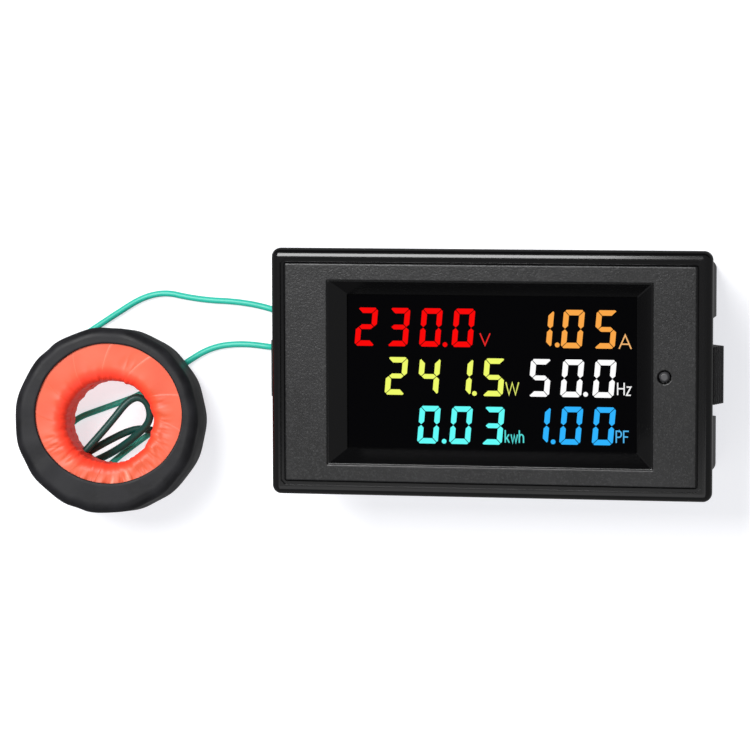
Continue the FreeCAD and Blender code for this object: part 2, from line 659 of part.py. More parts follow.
driver_chip = chip(DRIVER_CHIP_SIZE, DRIVER_CHIP_PLACE, DRIVER_CHIP_LEGS, display_board_z, -1)
measuring_chip = chip(MEASURING_CHIP_SIZE, MEASURING_CHIP_PLACE, MEASURING_CHIP_LEGS, power_top, 1)
export("display_driver_chip", driver_chip)
export("measuring_chip", measuring_chip)
export("rectifier", chip(RECTIFIER_SIZE, RECTIFIER_PLACE, RECTIFIER_LEGS, power_top, 1))
export("crystal", rounded_block(*CRYSTAL_SIZE, CRYSTAL_RADIUS, power_top, *CRYSTAL_PLACE))
export("burden_resistor", block(*BURDEN_SIZE, *BURDEN_PLACE, power_top))
dropper = block(*DROPPER_SIZE, *DROPPER_PLACE, POWER_BOARD_Z - DROPPER_SIZE[2])
export("dropper_capacitor", dropper.makeChamfer(DROPPER_EDGE, dropper.Edges))
storage_z = POWER_BOARD_Z - STORAGE_RADIUS
export("storage_capacitor", rod(STORAGE_RADIUS, STORAGE_LENGTH, *STORAGE_PLACE, storage_z, X_AXIS))
disc_x, disc_y = DISC_PLACE
disc_z = POWER_BOARD_Z - DISC_DROP
disc = rod(DISC_RADIUS, DISC_THICKNESS, disc_x, disc_y - DISC_THICKNESS / 2, disc_z, Y_AXIS)
for side in (-1, 1):
    disc = disc.fuse(block(DISC_LEG, DISC_LEG, DISC_DROP, disc_x + side * DISC_LEG_SPREAD, disc_y, disc_z))
export("surge_disc", disc)
fuse_x, fuse_y = FUSE_PLACE
fuse_z = POWER_BOARD_Z - FUSE_DROP
fuse_body = rod(FUSE_RADIUS, FUSE_LENGTH, fuse_x - FUSE_LENGTH / 2, fuse_y, fuse_z, X_AXIS)
for side in (-1, 1):
    leg_x = fuse_x + side * (FUSE_LENGTH / 2 + FUSE_LEG_OUT / 2)
    fuse_body = fuse_body.fuse(block(FUSE_LEG_OUT, FUSE_LEG, FUSE_LEG, leg_x, fuse_y, fuse_z - FUSE_LEG / 2))
    foot_x = leg_x + side * (FUSE_LEG_OUT - FUSE_LEG) / 2
    fuse_body = fuse_body.fuse(block(FUSE_LEG, FUSE_LEG, FUSE_DROP, foot_x, fuse_y, fuse_z))
export("fuse_resistor", fuse_body)
link_x = power_board_size[0] / 2 - LINK_INSET[0]
link_y = power_board_size[1] / 2 - LINK_INSET[1]
link = block(LINK_WIDTH, LINK_PITCH * LINK_PIN_COUNT, LINK_HEIGHT, link_x, link_y, power_top)
pins = []
for index in range(LINK_PIN_COUNT):
    pin_y = link_y + LINK_PITCH * (index - (LINK_PIN_COUNT - 1) / 2)
    link = link.cut(block(LINK_PIN, LINK_PIN, LINK_HEIGHT, link_x, pin_y, power_top))
    pins.append(block(LINK_PIN, LINK_PIN, display_board_z - power_top, link_x, pin_y, power_top))
export("board_link_block", link)
export("board_link_pins", Part.makeCompound(pins))


# Switch and set button
switch_top = display_board_top + SWITCH_BODY
plunger_top = switch_top + PLUNGER_OUT
plunger_bottom = switch_top - PLUNGER_IN
well_bottom = plunger_bottom - BUTTON_TRAVEL - WELL_SPARE_DEPTH
switch = block(SWITCH_LENGTH, SWITCH_HEIGHT, SWITCH_BODY, BUTTON_X, 0, display_board_top)
well = rod(PLUNGER_RADIUS + PLUNGER_CLEARANCE, SWITCH_BODY, BUTTON_X, 0, well_bottom)
export("switch_body", switch.cut(well))
export("switch_plunger", rod(PLUNGER_RADIUS, plunger_top - plunger_bottom, BUTTON_X, 0, plunger_bottom))
collar = rod(BUTTON_COLLAR_RADIUS, BUTTON_COLLAR, BUTTON_X, 0, plunger_top)
stem_top = front_z - BUTTON_BELOW_FACE
stem = rod(BUTTON_RADIUS, stem_top - plunger_top, BUTTON_X, 0, plunger_top)
stem = stem.makeChamfer(BUTTON_DOME, [e for e in stem.Edges if e.BoundBox.ZMin > stem_top - 0.01])
export("set_button", stem.fuse(collar).removeSplitter())

# Terminal block
screw_x = BLOCK_OUTER_X + BLOCK_WIDTH / 2 - CHAMBER_SHIFT
chamber_inner_x = screw_x + CHAMBER_WIDTH / 2
cage_inner_top = BAR_BOTTOM_Z + BAR_THICKNESS + FERRULE_DIAMETER + CAGE_WIRE_PLAY
cage_top_z = cage_inner_top + CAGE_TOP_WALL
chamber_depth = cage_top_z + CAGE_TRAVEL + CAGE_ROOM - CHAMBER_BOTTOM_Z
terminal = block(
    BLOCK_WIDTH, block_length, POWER_BOARD_Z - BLOCK_REAR_Z, BLOCK_OUTER_X + BLOCK_WIDTH / 2, 0, BLOCK_REAR_Z)
for pole_y in pole_ys:
    chamber = block(CHAMBER_WIDTH, CHAMBER_HEIGHT, chamber_depth, screw_x, pole_y, CHAMBER_BOTTOM_Z)
    entry = block(
        ENTRY_DEPTH, ENTRY_HEIGHT, ENTRY_TOP_Z - ENTRY_BOTTOM_Z, BLOCK_OUTER_X + ENTRY_DEPTH / 2, pole_y,
        ENTRY_BOTTOM_Z)
    driver_hole = rod(DRIVER_HOLE_RADIUS, CHAMBER_BOTTOM_Z, screw_x, pole_y, 0)
    slot_length = pin_x + PIN_SIZE / 2 + BAR_PLAY - chamber_inner_x
    slot_x = chamber_inner_x + slot_length / 2
    bar_slot = block(
        slot_length, BAR_HEIGHT + BAR_PLAY, BAR_THICKNESS + BAR_PLAY, slot_x, pole_y,
        BAR_BOTTOM_Z - BAR_PLAY / 2)
    pin_slot = block(
        PIN_SIZE + BAR_PLAY, PIN_SIZE + BAR_PLAY, POWER_BOARD_Z - BAR_BOTTOM_Z, pin_x, pole_y, BAR_BOTTOM_Z)
    for hollow in (chamber, entry, driver_hole, bar_slot, pin_slot):
        terminal = terminal.cut(hollow)
export("terminal_block", terminal)
for index, pole_y in enumerate(pole_ys):
    number = index + 1
    bar_left = screw_x - CHAMBER_WIDTH / 2 + BAR_END_GAP
    bar_right = pin_x + PIN_SIZE / 2
    bar_x = (bar_left + bar_right) / 2
    bar = block(bar_right - bar_left, BAR_HEIGHT, BAR_THICKNESS, bar_x, pole_y, BAR_BOTTOM_Z)
    pin = block(PIN_SIZE, PIN_SIZE, PIN_TOP_Z - BAR_BOTTOM_Z, pin_x, pole_y, BAR_BOTTOM_Z)
    export(f"contact_bar_{number}", bar.fuse(pin).removeSplitter())
    cage = block(CAGE_WIDTH, CAGE_HEIGHT, cage_top_z - CAGE_BOTTOM_Z, screw_x, pole_y, CAGE_BOTTOM_Z)
    cage = cage.cut(block(
        CAGE_WIDTH, CAGE_HEIGHT - 2 * CAGE_WALL, cage_inner_top - CAGE_BOTTOM_Z - CAGE_NUT,
        screw_x, pole_y, CAGE_BOTTOM_Z + CAGE_NUT))
    cage = cage.cut(rod(CLAMP_SCREW_RADIUS + CLAMP_SCREW_CLEARANCE, CAGE_NUT, screw_x, pole_y, CAGE_BOTTOM_Z))
    export(f"clamp_cage_{number}", cage)
    head_bottom, head_top = CLAMP_HEAD_Z
    head = rod(CLAMP_HEAD_RADIUS, head_top - head_bottom, screw_x, pole_y, head_bottom)
    head = head.cut(block(2 * CLAMP_HEAD_RADIUS, *CLAMP_SLOT, screw_x, pole_y, head_bottom))
    shank = rod(CLAMP_SCREW_RADIUS, BAR_BOTTOM_Z - CLAMP_TIP_GAP - head_top, screw_x, pole_y, head_top)
    export(f"clamp_screw_{number}", head.fuse(shank).removeSplitter())


# Ring transformer, made about its own axis and then tilted into place
def rounded_section(inner, outer, half, inner_cut, outer_cut, steps):
    """Corner points (radius, height) of a ring's section, with its corners rounded off in short steps."""
    corners = [
        (outer - outer_cut, half - outer_cut, outer_cut, 90.0),
        (inner + inner_cut, half - inner_cut, inner_cut, 180.0),
        (inner + inner_cut, -half + inner_cut, inner_cut, 270.0),
        (outer - outer_cut, -half + outer_cut, outer_cut, 0.0)]
    points = []
    for radius, height, cut, last in corners:
        for step in range(steps + 1):
            angle = math.radians(last - 90.0 + 90.0 * step / steps)
            points.append((radius + cut * math.cos(angle), height + cut * math.sin(angle)))
    return points


def faceted_ring(section_at, count):
    """A closed ring of flat facets through the section points at each of count stations."""
    stations = []
    for index in range(count):
        turn = 2 * math.pi * index / count
        stations.append([
            V(r * math.cos(turn), r * math.sin(turn), h) for r, h in section_at(index)])
    faces = []
    size = len(stations[0])
    for index in range(count):
        here = stations[index]
        there = stations[(index + 1) % count]
        for k in range(size):
            a, b = here[k], here[(k + 1) % size]
            c, d = there[(k + 1) % size], there[k]
            for corners in ((a, c, b), (a, d, c)):
                edge_a = corners[1] - corners[0]
                edge_b = corners[2] - corners[0]
                if edge_a.cross(edge_b).Length > 1e-7:
                    faces.append(Part.Face(Part.makePolygon([*corners, corners[0]])))
    shell = Part.makeShell(faces)
    shell.sewShape(1e-5)
    solid = Part.makeSolid(shell.Shells[0] if shell.Shells else shell)
    if solid.Volume < 0:
        solid.reverse()
    return solid


tape_outer = RING_OUTER_RADIUS - BAND_THICKNESS
tape_half = RING_THICKNESS / 2 - BAND_THICKNESS
winding_outer = tape_outer - TAPE_THICKNESS
winding_half = tape_half - TAPE_THICKNESS
core_inner = RING_HOLE_RADII[0] + RING_HOLE_SHIFT[0] + TAPE_THICKNESS + WINDING_THICKNESS
core_outer = winding_outer - WINDING_THICKNESS
core_half = winding_half - WINDING_THICKNESS

band_rounding = SECTION_OUTER_ROUNDING + BAND_THICKNESS
band_opening_radii = [RING_OUTER_RADIUS - width for width in BAND_LAP_WIDTHS]
tilt = math.radians(RING_TILT_DEG)
tilt_azimuth = math.radians(RING_TILT_AZIMUTH_DEG)
tilt_axis = V(-math.sin(tilt_azimuth), math.cos(tilt_azimuth), 0)
ring_low = ((RING_OUTER_RADIUS - band_rounding) * math.sin(tilt)
            + (RING_THICKNESS / 2 - band_rounding) * math.cos(tilt) + band_rounding)
ring_centre = V(*RING_PLACE, RING_REST_Z + ring_low)
ring_place = FreeCAD.Placement(ring_centre, FreeCAD.Rotation(tilt_axis, RING_TILT_DEG))


def off_centre_radius(radii, shift, index, count):
    """The distance from the ring's axis, at one of count stations, to an oval set off the axis."""
    turn = 2 * math.pi * index / count
    oval = radii[0] * radii[1] / math.hypot(radii[1] * math.cos(turn), radii[0] * math.sin(turn))
    return oval + shift[0] * math.cos(turn) + shift[1] * math.sin(turn)


def place_ring(shape):
    placed = shape.copy()
    placed.Placement = ring_place
    return placed


def core_section(index):
    return rounded_section(core_inner, core_outer, core_half, CORE_ROUNDING, CORE_ROUNDING, 1)


def winding_section(index):
    hole = off_centre_radius(RING_HOLE_RADII, RING_HOLE_SHIFT, index, INNER_STATIONS)
    winding_inner = hole + TAPE_THICKNESS
    inner_cut = SECTION_INNER_ROUNDING - TAPE_THICKNESS
    outer_cut = SECTION_OUTER_ROUNDING - TAPE_THICKNESS
    return rounded_section(winding_inner, winding_outer, winding_half, inner_cut, outer_cut, 1)


core = faceted_ring(core_section, INNER_STATIONS)
winding_body = faceted_ring(winding_section, INNER_STATIONS)
winding = winding_body.cut(core)


def tape_section(index):
    """Each lap of tape swells over the last one, so every second station stands a little higher."""
    swell = TAPE_LAP_HEIGHT * (index % 2)
    hole = off_centre_radius(RING_HOLE_RADII, RING_HOLE_SHIFT, index, RING_STATIONS)
    return rounded_section(
        hole, tape_outer, tape_half + swell, SECTION_INNER_ROUNDING, SECTION_OUTER_ROUNDING, 2)


tape_body = faceted_ring(tape_section, RING_STATIONS)
tape = tape_body.cut(winding_body)


def band_section(index):
    """The shrink band: a wall round the tape with a lap turned over both faces, its edge off centre."""
    lap_edge = off_centre_radius(band_opening_radii, BAND_LAP_SHIFT, index, RING_STATIONS)
    swell = BAND_FACET_SWELL * (index % 2)
    lap_swell = TAPE_LAP_HEIGHT * (index % 2)
    hidden = lap_edge - BAND_HIDDEN_REACH
    skin = rounded_section(
        hidden, RING_OUTER_RADIUS + swell, RING_THICKNESS / 2 + lap_swell, BAND_HIDDEN_ROUNDING,
        band_rounding, 2)
    seat = rounded_section(
        hidden, tape_outer + BAND_SEAT_CLEARANCE, tape_half + lap_swell + BAND_SEAT_CLEARANCE,
        BAND_HIDDEN_ROUNDING, SECTION_OUTER_ROUNDING, 2)
    top_skin = [p for p in skin if p[0] > lap_edge and p[1] > 0]
    low_skin = [p for p in skin if p[0] > lap_edge and p[1] < 0]
    top_seat = [p for p in seat if p[0] > lap_edge and p[1] > 0]
    low_seat = [p for p in seat if p[0] > lap_edge and p[1] < 0]
    top = RING_THICKNESS / 2 + lap_swell
    floor = tape_half + lap_swell + BAND_SEAT_CLEARANCE
    return (low_skin + top_skin + [(lap_edge, top), (lap_edge, floor)] + top_seat[::-1] + low_seat[::-1]
            + [(lap_edge, -floor), (lap_edge, -top)])


band = faceted_ring(band_section, RING_STATIONS)

placed_tape = place_ring(tape)
placed_winding_body = place_ring(winding_body)
export("transformer_core", place_ring(core))
export("transformer_winding", place_ring(winding))
export("wrapping_tape", placed_tape)
export("shrink_band", place_ring(band))

# Leads: from the two upper terminals over the floor, under the ring and up through its hole
UPPER_ROUTE = [
    (LEAD_START_X, pole_ys[3], ENTRY_Z), (-38.6, pole_ys[3], ENTRY_Z), (-43.4, 9.2, 0.6), (-50.0, 10.7, 0.6),
    (-58.5, 11.0, 0.6), (-67.0, 12.8, 0.6), (-76.3, 7.0, 0.6), (-84.6, 1.4, 0.6), (-88.0, -8.0, 0.6),
    (-90.0, -17.5, 0.6), (-87.6, -25.6, 0.6), (-80.4, -24.4, 0.7), (-74.8, -19.2, 1.2), (-67.9, -14.0, 0.8),
    (-62.4, -10.6, 0.8), (-59.6, -12.6, 0.9), (-61.0, -15.4, 1.3), (-63.8, -14.4, 1.95)]
LOWER_ROUTE = [
    (LEAD_START_X, pole_ys[2], ENTRY_Z), (-38.6, pole_ys[2], ENTRY_Z), (-43.6, 2.2, 0.6), (-50.0, 3.0, 0.6),
    (-56.0, 2.3, 0.6), (-61.5, -1.0, 0.6), (-68.8, -6.6, 0.6), (-76.5, -9.4, 0.6), (-83.6, -12.0, 0.6),
    (-85.6, -17.4, 0.7), (-81.2, -20.6, 1.1), (-77.9, -19.15, 2.15)]
UPPER_SLEEVE_ROUTE = [
    (-63.8, -14.4, 1.95), (-66.6, -13.4, 2.6), (-70.1, -12.9, 3.1), (-74.7, -15.0, 5.4), (-78.8, -17.55, 7.6)]
LOWER_SLEEVE_ROUTE = [
    (-77.9, -19.15, 2.15), (-74.6, -17.7, 3.2), (-69.7, -14.3, 5.0), (-66.4, -11.2, 5.8), (-67.0, -7.2, 6.6),
    (-70.0, -6.6, 7.0), (-74.1, -12.1, 8.2), (-78.5, -17.0, 9.1)]


def route_edges(route):
    """Straight runs joined by tangent arcs; returns the edges and the least arc radius."""
    points = [V(*p) for p in route]
    edges = []
    start = points[0]
    least = 1e9
    for index in range(1, len(points) - 1):
        here = points[index]
        run_in = here - points[index - 1]
        run_out = points[index + 1] - here
        way_in = run_in * (1 / run_in.Length)
        way_out = run_out * (1 / run_out.Length)
        turn = way_in.getAngle(way_out)
        reach = BEND_SHARE * min(run_in.Length, run_out.Length)
        radius = reach / math.tan(turn / 2)
        least = min(least, radius)
        bend_in = here - way_in * reach
        bend_out = here + way_out * reach
        inward = way_out - way_in
        inward = inward * (1 / inward.Length)
        middle = here + inward * (radius / math.cos(turn / 2) - radius)
        edges.append(Part.LineSegment(start, bend_in).toShape())
        edges.append(Part.Arc(bend_in, middle, bend_out).toShape())
        start = bend_out
    edges.append(Part.LineSegment(start, points[-1]).toShape())
    return edges, least


def cord(route, diameter):
    """A cord drawn with flats on its sides; its section has the area of the round one."""
    edges, least = route_edges(route)
    spine = Part.Wire(edges)
    first = V(*route[1]) - V(*route[0])
    way = first * (1 / first.Length)
    across = way.cross(Z_AXIS)
    across = across * (1 / across.Length)
    over = across.cross(way)
    flat_angle = math.pi / CORD_FLATS
    reach = diameter / 2 / math.sqrt(math.sin(2 * flat_angle) / (2 * flat_angle))
    corners = []
    for index in range(CORD_FLATS):
        turn = flat_angle * (2 * index + 1)
        corners.append(V(*route[0]) + across * (reach * math.cos(turn)) + over * (reach * math.sin(turn)))
    profile = Part.makePolygon([*corners, corners[0]])
    solid = spine.makePipeShell([profile], True, False)
    length = spine.Length
    exact = math.pi * diameter ** 2 / 4 * length
    print("cord diameter", diameter, "length", round(length, 1), "least radius", round(least, 2),
          "volume share", round(solid.Volume / exact, 4))
    return solid


upper_lead = cord(UPPER_ROUTE, LEAD_DIAMETER)
lower_lead = cord(LOWER_ROUTE, LEAD_DIAMETER)
upper_sleeve = cord(UPPER_SLEEVE_ROUTE, SLEEVE_DIAMETER)
lower_sleeve = cord(LOWER_SLEEVE_ROUTE, SLEEVE_DIAMETER)


def trimmed(cord_solid):
    """The free piece of a cord once the tape that it goes into is taken away."""
    left = cord_solid.cut(placed_tape).cut(placed_winding_body)
    return max(left.Solids, key=lambda s: s.Volume)


upper_sleeve = trimmed(upper_sleeve)
lower_sleeve = trimmed(lower_sleeve)
export("lead_upper", upper_lead)
export("lead_lower", lower_lead)
export("sleeve_upper", upper_sleeve)
export("sleeve_lower", lower_sleeve)
for name, pole_y in (("ferrule_upper", pole_ys[3]), ("ferrule_lower", pole_ys[2])):
    export(name, rod(FERRULE_DIAMETER / 2, FERRULE_LENGTH, LEAD_START_X, pole_y, ENTRY_Z, X_AXIS))

loose = {
    "upper lead": upper_lead,
    "lower lead": lower_lead,
    "upper sleeve": upper_sleeve,
    "lower sleeve": lower_sleeve}
ringed = {"tape": placed_tape, "band": place_ring(band)}
names = list(loose)
for index, name in enumerate(names):
    for other in names[index + 1:]:
        print("gap", name, other, round(loose[name].distToShape(loose[other])[0], 3))
    for other, shape in ringed.items():
        print("gap", name, other, round(loose[name].distToShape(shape)[0], 3))
print("nodes", len(written))
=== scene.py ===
# %% [markdown]
# # A digital power meter and its ring transformer
#
# The photograph shows a black panel meter lying on its back, with a lit colour display behind
# a deep window, and a wound ring transformer beside it on two thin teal leads. The rigid
# pieces come from the CAD part as a fixed frame, and this script makes what a photograph
# shows beyond their shape: finishes, lit figures, taped and shrunk coverings, and the leads.
# It starts by loading the frame.

# %% Load the frame
import math
import random

import bpy
from mathutils import Matrix, Vector
from mathutils import noise as field


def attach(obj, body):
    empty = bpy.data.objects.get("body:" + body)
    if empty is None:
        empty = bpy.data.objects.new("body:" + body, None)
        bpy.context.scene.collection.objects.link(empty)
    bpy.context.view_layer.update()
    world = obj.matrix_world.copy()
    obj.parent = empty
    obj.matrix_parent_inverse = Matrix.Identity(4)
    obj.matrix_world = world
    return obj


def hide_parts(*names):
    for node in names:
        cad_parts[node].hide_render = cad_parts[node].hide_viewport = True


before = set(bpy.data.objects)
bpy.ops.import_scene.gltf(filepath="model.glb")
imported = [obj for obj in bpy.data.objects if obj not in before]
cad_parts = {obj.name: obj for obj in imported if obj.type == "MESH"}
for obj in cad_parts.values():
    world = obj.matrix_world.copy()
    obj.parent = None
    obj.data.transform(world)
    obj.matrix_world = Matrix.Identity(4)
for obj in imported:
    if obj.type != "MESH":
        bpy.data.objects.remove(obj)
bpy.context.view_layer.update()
MM = 0.001

# %% [markdown]
# ## The camera
#
# The face is seen a little from its right and a little from above. Its near right edge is
# about two percent taller than its left one, which puts a camera with a long lens some
# 650 mm away. These two tilts and the distance came from fitting the corners of the face
# and of the window, so the same few numbers give the whole view.

# %% Camera
CAMERA_DISTANCE_MM = 650.0
CAMERA_TILT_RIGHT_DEG = 10.93
CAMERA_TILT_UP_DEG = 5.12
CAMERA_ROLL_DEG = -0.14
CAMERA_LENS_MM = 176.4
CAMERA_AIM_MM = (-19.70, 0.0, 28.80)


def place_camera():
    right = math.radians(CAMERA_TILT_RIGHT_DEG)
    up = math.radians(CAMERA_TILT_UP_DEG)
    back = Vector((math.sin(right) * math.cos(up), math.sin(up), math.cos(right) * math.cos(up)))
    data = bpy.data.cameras.new("camera")
    data.sensor_width = 36.0
    data.lens = CAMERA_LENS_MM
    data.clip_start = 0.05
    data.clip_end = 5.0
    camera = bpy.data.objects.new("camera", data)
    bpy.context.scene.collection.objects.link(camera)
    side = Vector((0, 1, 0)).cross(back).normalized()
    top = back.cross(side)
    turn = Matrix((side, top, back)).transposed()
    roll = Matrix.Rotation(math.radians(CAMERA_ROLL_DEG), 3, "Z")
    place = Vector(CAMERA_AIM_MM) * MM + back * CAMERA_DISTANCE_MM * MM
    camera.matrix_world = Matrix.Translation(place) @ (turn @ roll).to_4x4()
    bpy.context.scene.camera = camera
    return camera


camera = place_camera()
print("camera at", [round(v, 4) for v in camera.matrix_world.translation])

# %% [markdown]
# ## Helpers for materials
#
# Every finish below is made of shader nodes. One function adds a node with its settings and
# links, and one turns the sRGB hex colours, which are easy to read off a sample card, into
# the linear values that the shader works in.


# %% Material helpers
def to_linear(hex_colour):
    """A linear RGBA colour from an sRGB hex string such as #2b2b2d."""
    channels = []
    for start in (1, 3, 5):
        value = int(hex_colour[start:start + 2], 16) / 255
        channels.append(value / 12.92 if value <= 0.04045 else ((value + 0.055) / 1.055) ** 2.4)
    return (*channels, 1.0)


def add(material, kind, inputs=None, **settings):
    """Adds a shader node, sets its properties, and fills or links its inputs."""
    node = material.node_tree.nodes.new(kind)
    for key, value in settings.items():
        setattr(node, key, value)
    for key, value in (inputs or {}).items():
        if isinstance(value, bpy.types.NodeSocket):
            material.node_tree.links.new(value, node.inputs[key])
        else:
            node.inputs[key].default_value = value
    return node


def new_material(name, **inputs):
    """A material with one principled surface; returns both."""
    material = bpy.data.materials.new(name)
    material.use_nodes = True
    material.node_tree.nodes.clear()
    surface = add(material, "ShaderNodeBsdfPrincipled")
    for key, value in inputs.items():
        surface.inputs[key.replace("_", " ")].default_value = value
    output = add(material, "ShaderNodeOutputMaterial")
    material.node_tree.links.new(surface.outputs["BSDF"], output.inputs["Surface"])
    return material, surface


def link(material, socket, node, name):
    material.node_tree.links.new(socket, node.inputs[name])


def ramp(material, factor, stops):
    """A colour ramp through (position, hex colour) stops."""
    node = add(material, "ShaderNodeValToRGB", {"Fac": factor})
    elements = node.color_ramp.elements
    while len(elements) < len(stops):
        elements.new(0.5)
    for element, (position, colour) in zip(elements, stops):
        element.position = position
        element.color = to_linear(colour)
    return node.outputs["Color"]


def grey_ramp(material, factor, low, high, low_value=0.0, high_value=1.0):
    """Maps a factor from low..high to low_value..high_value, clamped."""
    node = add(material, "ShaderNodeMapRange", {
        "Value": factor, "From Min": low, "From Max": high, "To Min": low_value, "To Max": high_value})
    return node.outputs["Result"]


def noise(material, size_mm, detail=2.0, roughness=0.5):
    """Noise in the piece's own space; size_mm is the size of its grains."""
    place = add(material, "ShaderNodeTexCoord")
    node = add(material, "ShaderNodeTexNoise", {
        "Vector": place.outputs["Object"], "Scale": 1 / (size_mm * MM), "Detail": detail,
        "Roughness": roughness})
    return node.outputs["Fac"]


def bump(material, height, distance_mm, strength=1.0, under=None):
    """The normal of a bumpy surface, over another normal where one is given."""
    node = add(material, "ShaderNodeBump", {
        "Height": height, "Distance": distance_mm * MM, "Strength": strength})
    if under is not None:
        link(material, under, node, "Normal")
    return node.outputs["Normal"]


def mix_colour(material, factor, low, high):
    """Mixes two colours, each a socket or a hex string; inputs 6 and 7 are the node's colours."""
    node = add(material, "ShaderNodeMix", {"Factor": factor}, data_type="RGBA")
    for index, value in ((6, low), (7, high)):
        if isinstance(value, bpy.types.NodeSocket):
            material.node_tree.links.new(value, node.inputs[index])
        else:
            node.inputs[index].default_value = to_linear(value)
    return node.outputs[2]


def clothe(obj, material):
    obj.data.materials.clear()
    obj.data.materials.append(material)


# %% [markdown]
# ## The leads
#
# Two limp leads run from the upper pair of terminals over the floor and under the ring, and
# end in its winding. They are PVC-covered wire, about 1.15 mm thick. Each is one spline
# whose control points are the places where the lead changes direction, the same places
# that the CAD tubes turn at, so that the two agree. The last stretch of each lead wears a
# dark insulating sleeve, which is a second, thicker spline along the same points. Its near-black
# green is partly the sleeve's own colour and partly painted shade: the leads' shade in the ring's hole.

# %% Lead routes
LEAD_DIAMETER_MM = 1.15
SLEEVE_DIAMETER_MM = 1.4
UPPER_ROUTE_MM = [
    (-33.9, 7.62, 5.5), (-38.6, 7.62, 5.5), (-43.4, 9.2, 0.6), (-50.0, 10.7, 0.6),
    (-58.5, 11.0, 0.6), (-67.0, 12.8, 0.6), (-76.3, 7.0, 0.6), (-84.6, 1.4, 0.6), (-88.0, -8.0, 0.6),
    (-90.0, -17.5, 0.6), (-87.6, -25.6, 0.6), (-80.4, -24.4, 0.7), (-74.8, -19.2, 1.2), (-67.9, -14.0, 0.8),
    (-62.4, -10.6, 0.8), (-59.6, -12.6, 0.9), (-61.0, -15.4, 1.3)]
UPPER_SLEEVE_MM = [
    (-63.8, -14.4, 1.95), (-66.6, -13.4, 2.6), (-70.1, -12.9, 3.1), (-74.7, -15.0, 5.4),
    (-78.8, -17.55, 7.6)]
LOWER_ROUTE_MM = [
    (-33.9, 2.54, 5.5), (-38.6, 2.54, 5.5), (-43.6, 2.2, 0.6), (-50.0, 3.0, 0.6),
    (-56.0, 2.3, 0.6), (-61.5, -1.0, 0.6), (-68.8, -6.6, 0.6), (-76.5, -9.4, 0.6), (-83.6, -12.0, 0.6),
    (-85.6, -17.4, 0.7), (-81.2, -20.6, 1.1)]
LOWER_SLEEVE_MM = [
    (-77.9, -19.15, 2.15), (-74.6, -17.7, 3.2), (-69.7, -14.3, 5.0), (-66.4, -11.2, 5.8),
    (-67.0, -7.2, 6.6), (-70.0, -6.6, 7.0), (-74.1, -12.1, 8.2), (-78.5, -17.0, 9.1)]


def cord_curve(name, route_mm, diameter_mm):
    """A round cord along one spline through the route's control points."""
    curve = bpy.data.curves.new(name, "CURVE")
    curve.dimensions = "3D"
    curve.bevel_depth = diameter_mm / 2 * MM
    curve.bevel_resolution = 6
    curve.resolution_u = 16
    curve.use_fill_caps = True
    spline = curve.splines.new("NURBS")
    spline.points.add(len(route_mm) - 1)
    for point, place in zip(spline.points, route_mm):
        point.co = (place[0] * MM, place[1] * MM, place[2] * MM, 1.0)
    spline.order_u = 3
    spline.use_endpoint_u = True
    obj = bpy.data.objects.new(name, curve)
    bpy.context.scene.collection.objects.link(obj)
    return obj


def cord_length(obj):
    """The length of the spline's drawn line, in metres."""
    return obj.data.splines[0].calc_length()


lead_upper = cord_curve("upper_lead", UPPER_ROUTE_MM + UPPER_SLEEVE_MM[1:], LEAD_DIAMETER_MM)
lead_lower = cord_curve("lower_lead", LOWER_ROUTE_MM + LOWER_SLEEVE_MM[1:], LEAD_DIAMETER_MM)
sleeve_upper = cord_curve("upper_sleeve", UPPER_SLEEVE_MM, SLEEVE_DIAMETER_MM)
sleeve_lower = cord_curve("lower_sleeve", LOWER_SLEEVE_MM, SLEEVE_DIAMETER_MM)
for obj in (lead_upper, lead_lower, sleeve_upper, sleeve_lower):
    print(obj.name, "length mm", round(cord_length(obj) / MM, 1))

# %% [markdown]
# The insulation is soft PVC in a blue-green, with a smooth skin that shines a little. The
# sleeves are thin rubber tube, so dark that only the lit side shows its green. That dark green
# is partly painted shade: it stands for the shade on the leads deep in the ring's hole.

# %% Lead materials and bodies
lead_pvc, _ = new_material(
    "teal PVC insulation", Base_Color=to_linear("#22B49E"), Roughness=0.42, IOR=1.53)
# The sleeve colour is partly the sleeve's own dark green and partly painted shade of the leads in the
# ring's hole.
sleeve_dark_and_shade, _ = new_material(
    "dark green sleeve and painted shade", Base_Color=to_linear("#0C3E38"), Roughness=0.4, IOR=1.52,
    Specular_IOR_Level=0.3)
for lead, sleeve, node_names in (
        (lead_upper, sleeve_upper, ("lead_upper", "sleeve_upper")),
        (lead_lower, sleeve_lower, ("lead_lower", "sleeve_lower"))):
    clothe(lead, lead_pvc)
    clothe(sleeve, sleeve_dark_and_shade)
    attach(lead, "meter")
    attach(sleeve, "meter")
    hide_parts(node_names[0])
    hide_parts(node_names[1])
    start = lead.data.splines[0].points[0].co

# %% [markdown]
# ## The taped ring
#
# The ring core and its winding are wrapped in red film tape. The tape runs round the ring's
# section, through the hole again and again, so each lap shows as a long wedge on the flat
# face: wide outside, bunched at the hole. Near the hole the spare width is crushed into short
# wrinkles, most of them at the bottom and right, where the leads were pulled in. A sculpted
# or simulated tape would be hard to keep inside the CAD ring. So it is a grid: one rounded
# section, repeated at many stations round an axis that leans a little, as the ring does.

# %% Ring frame and section
RING_CENTRE_MM = (-73.15, -10.9, 9.46)
RING_TILT_DEG = 7.0
RING_TILT_AZIMUTH_DEG = 56.3
TAPE_INNER_MM = 7.9
TAPE_OUTER_MM = 16.45
TAPE_HALF_MM = 5.7
TAPE_INNER_ROUNDING_MM = 2.2
TAPE_OUTER_ROUNDING_MM = 1.2
HOLE_RADII_MM = (8.1, 7.65)
HOLE_SHIFT_MM = (0.45, -0.25)

azimuth = math.radians(RING_TILT_AZIMUTH_DEG)
tilt_axis = Vector((-math.sin(azimuth), math.cos(azimuth), 0))
ring_matrix = Matrix.Translation(Vector(RING_CENTRE_MM) * MM) @ Matrix.Rotation(
    math.radians(RING_TILT_DEG), 4, tilt_axis)


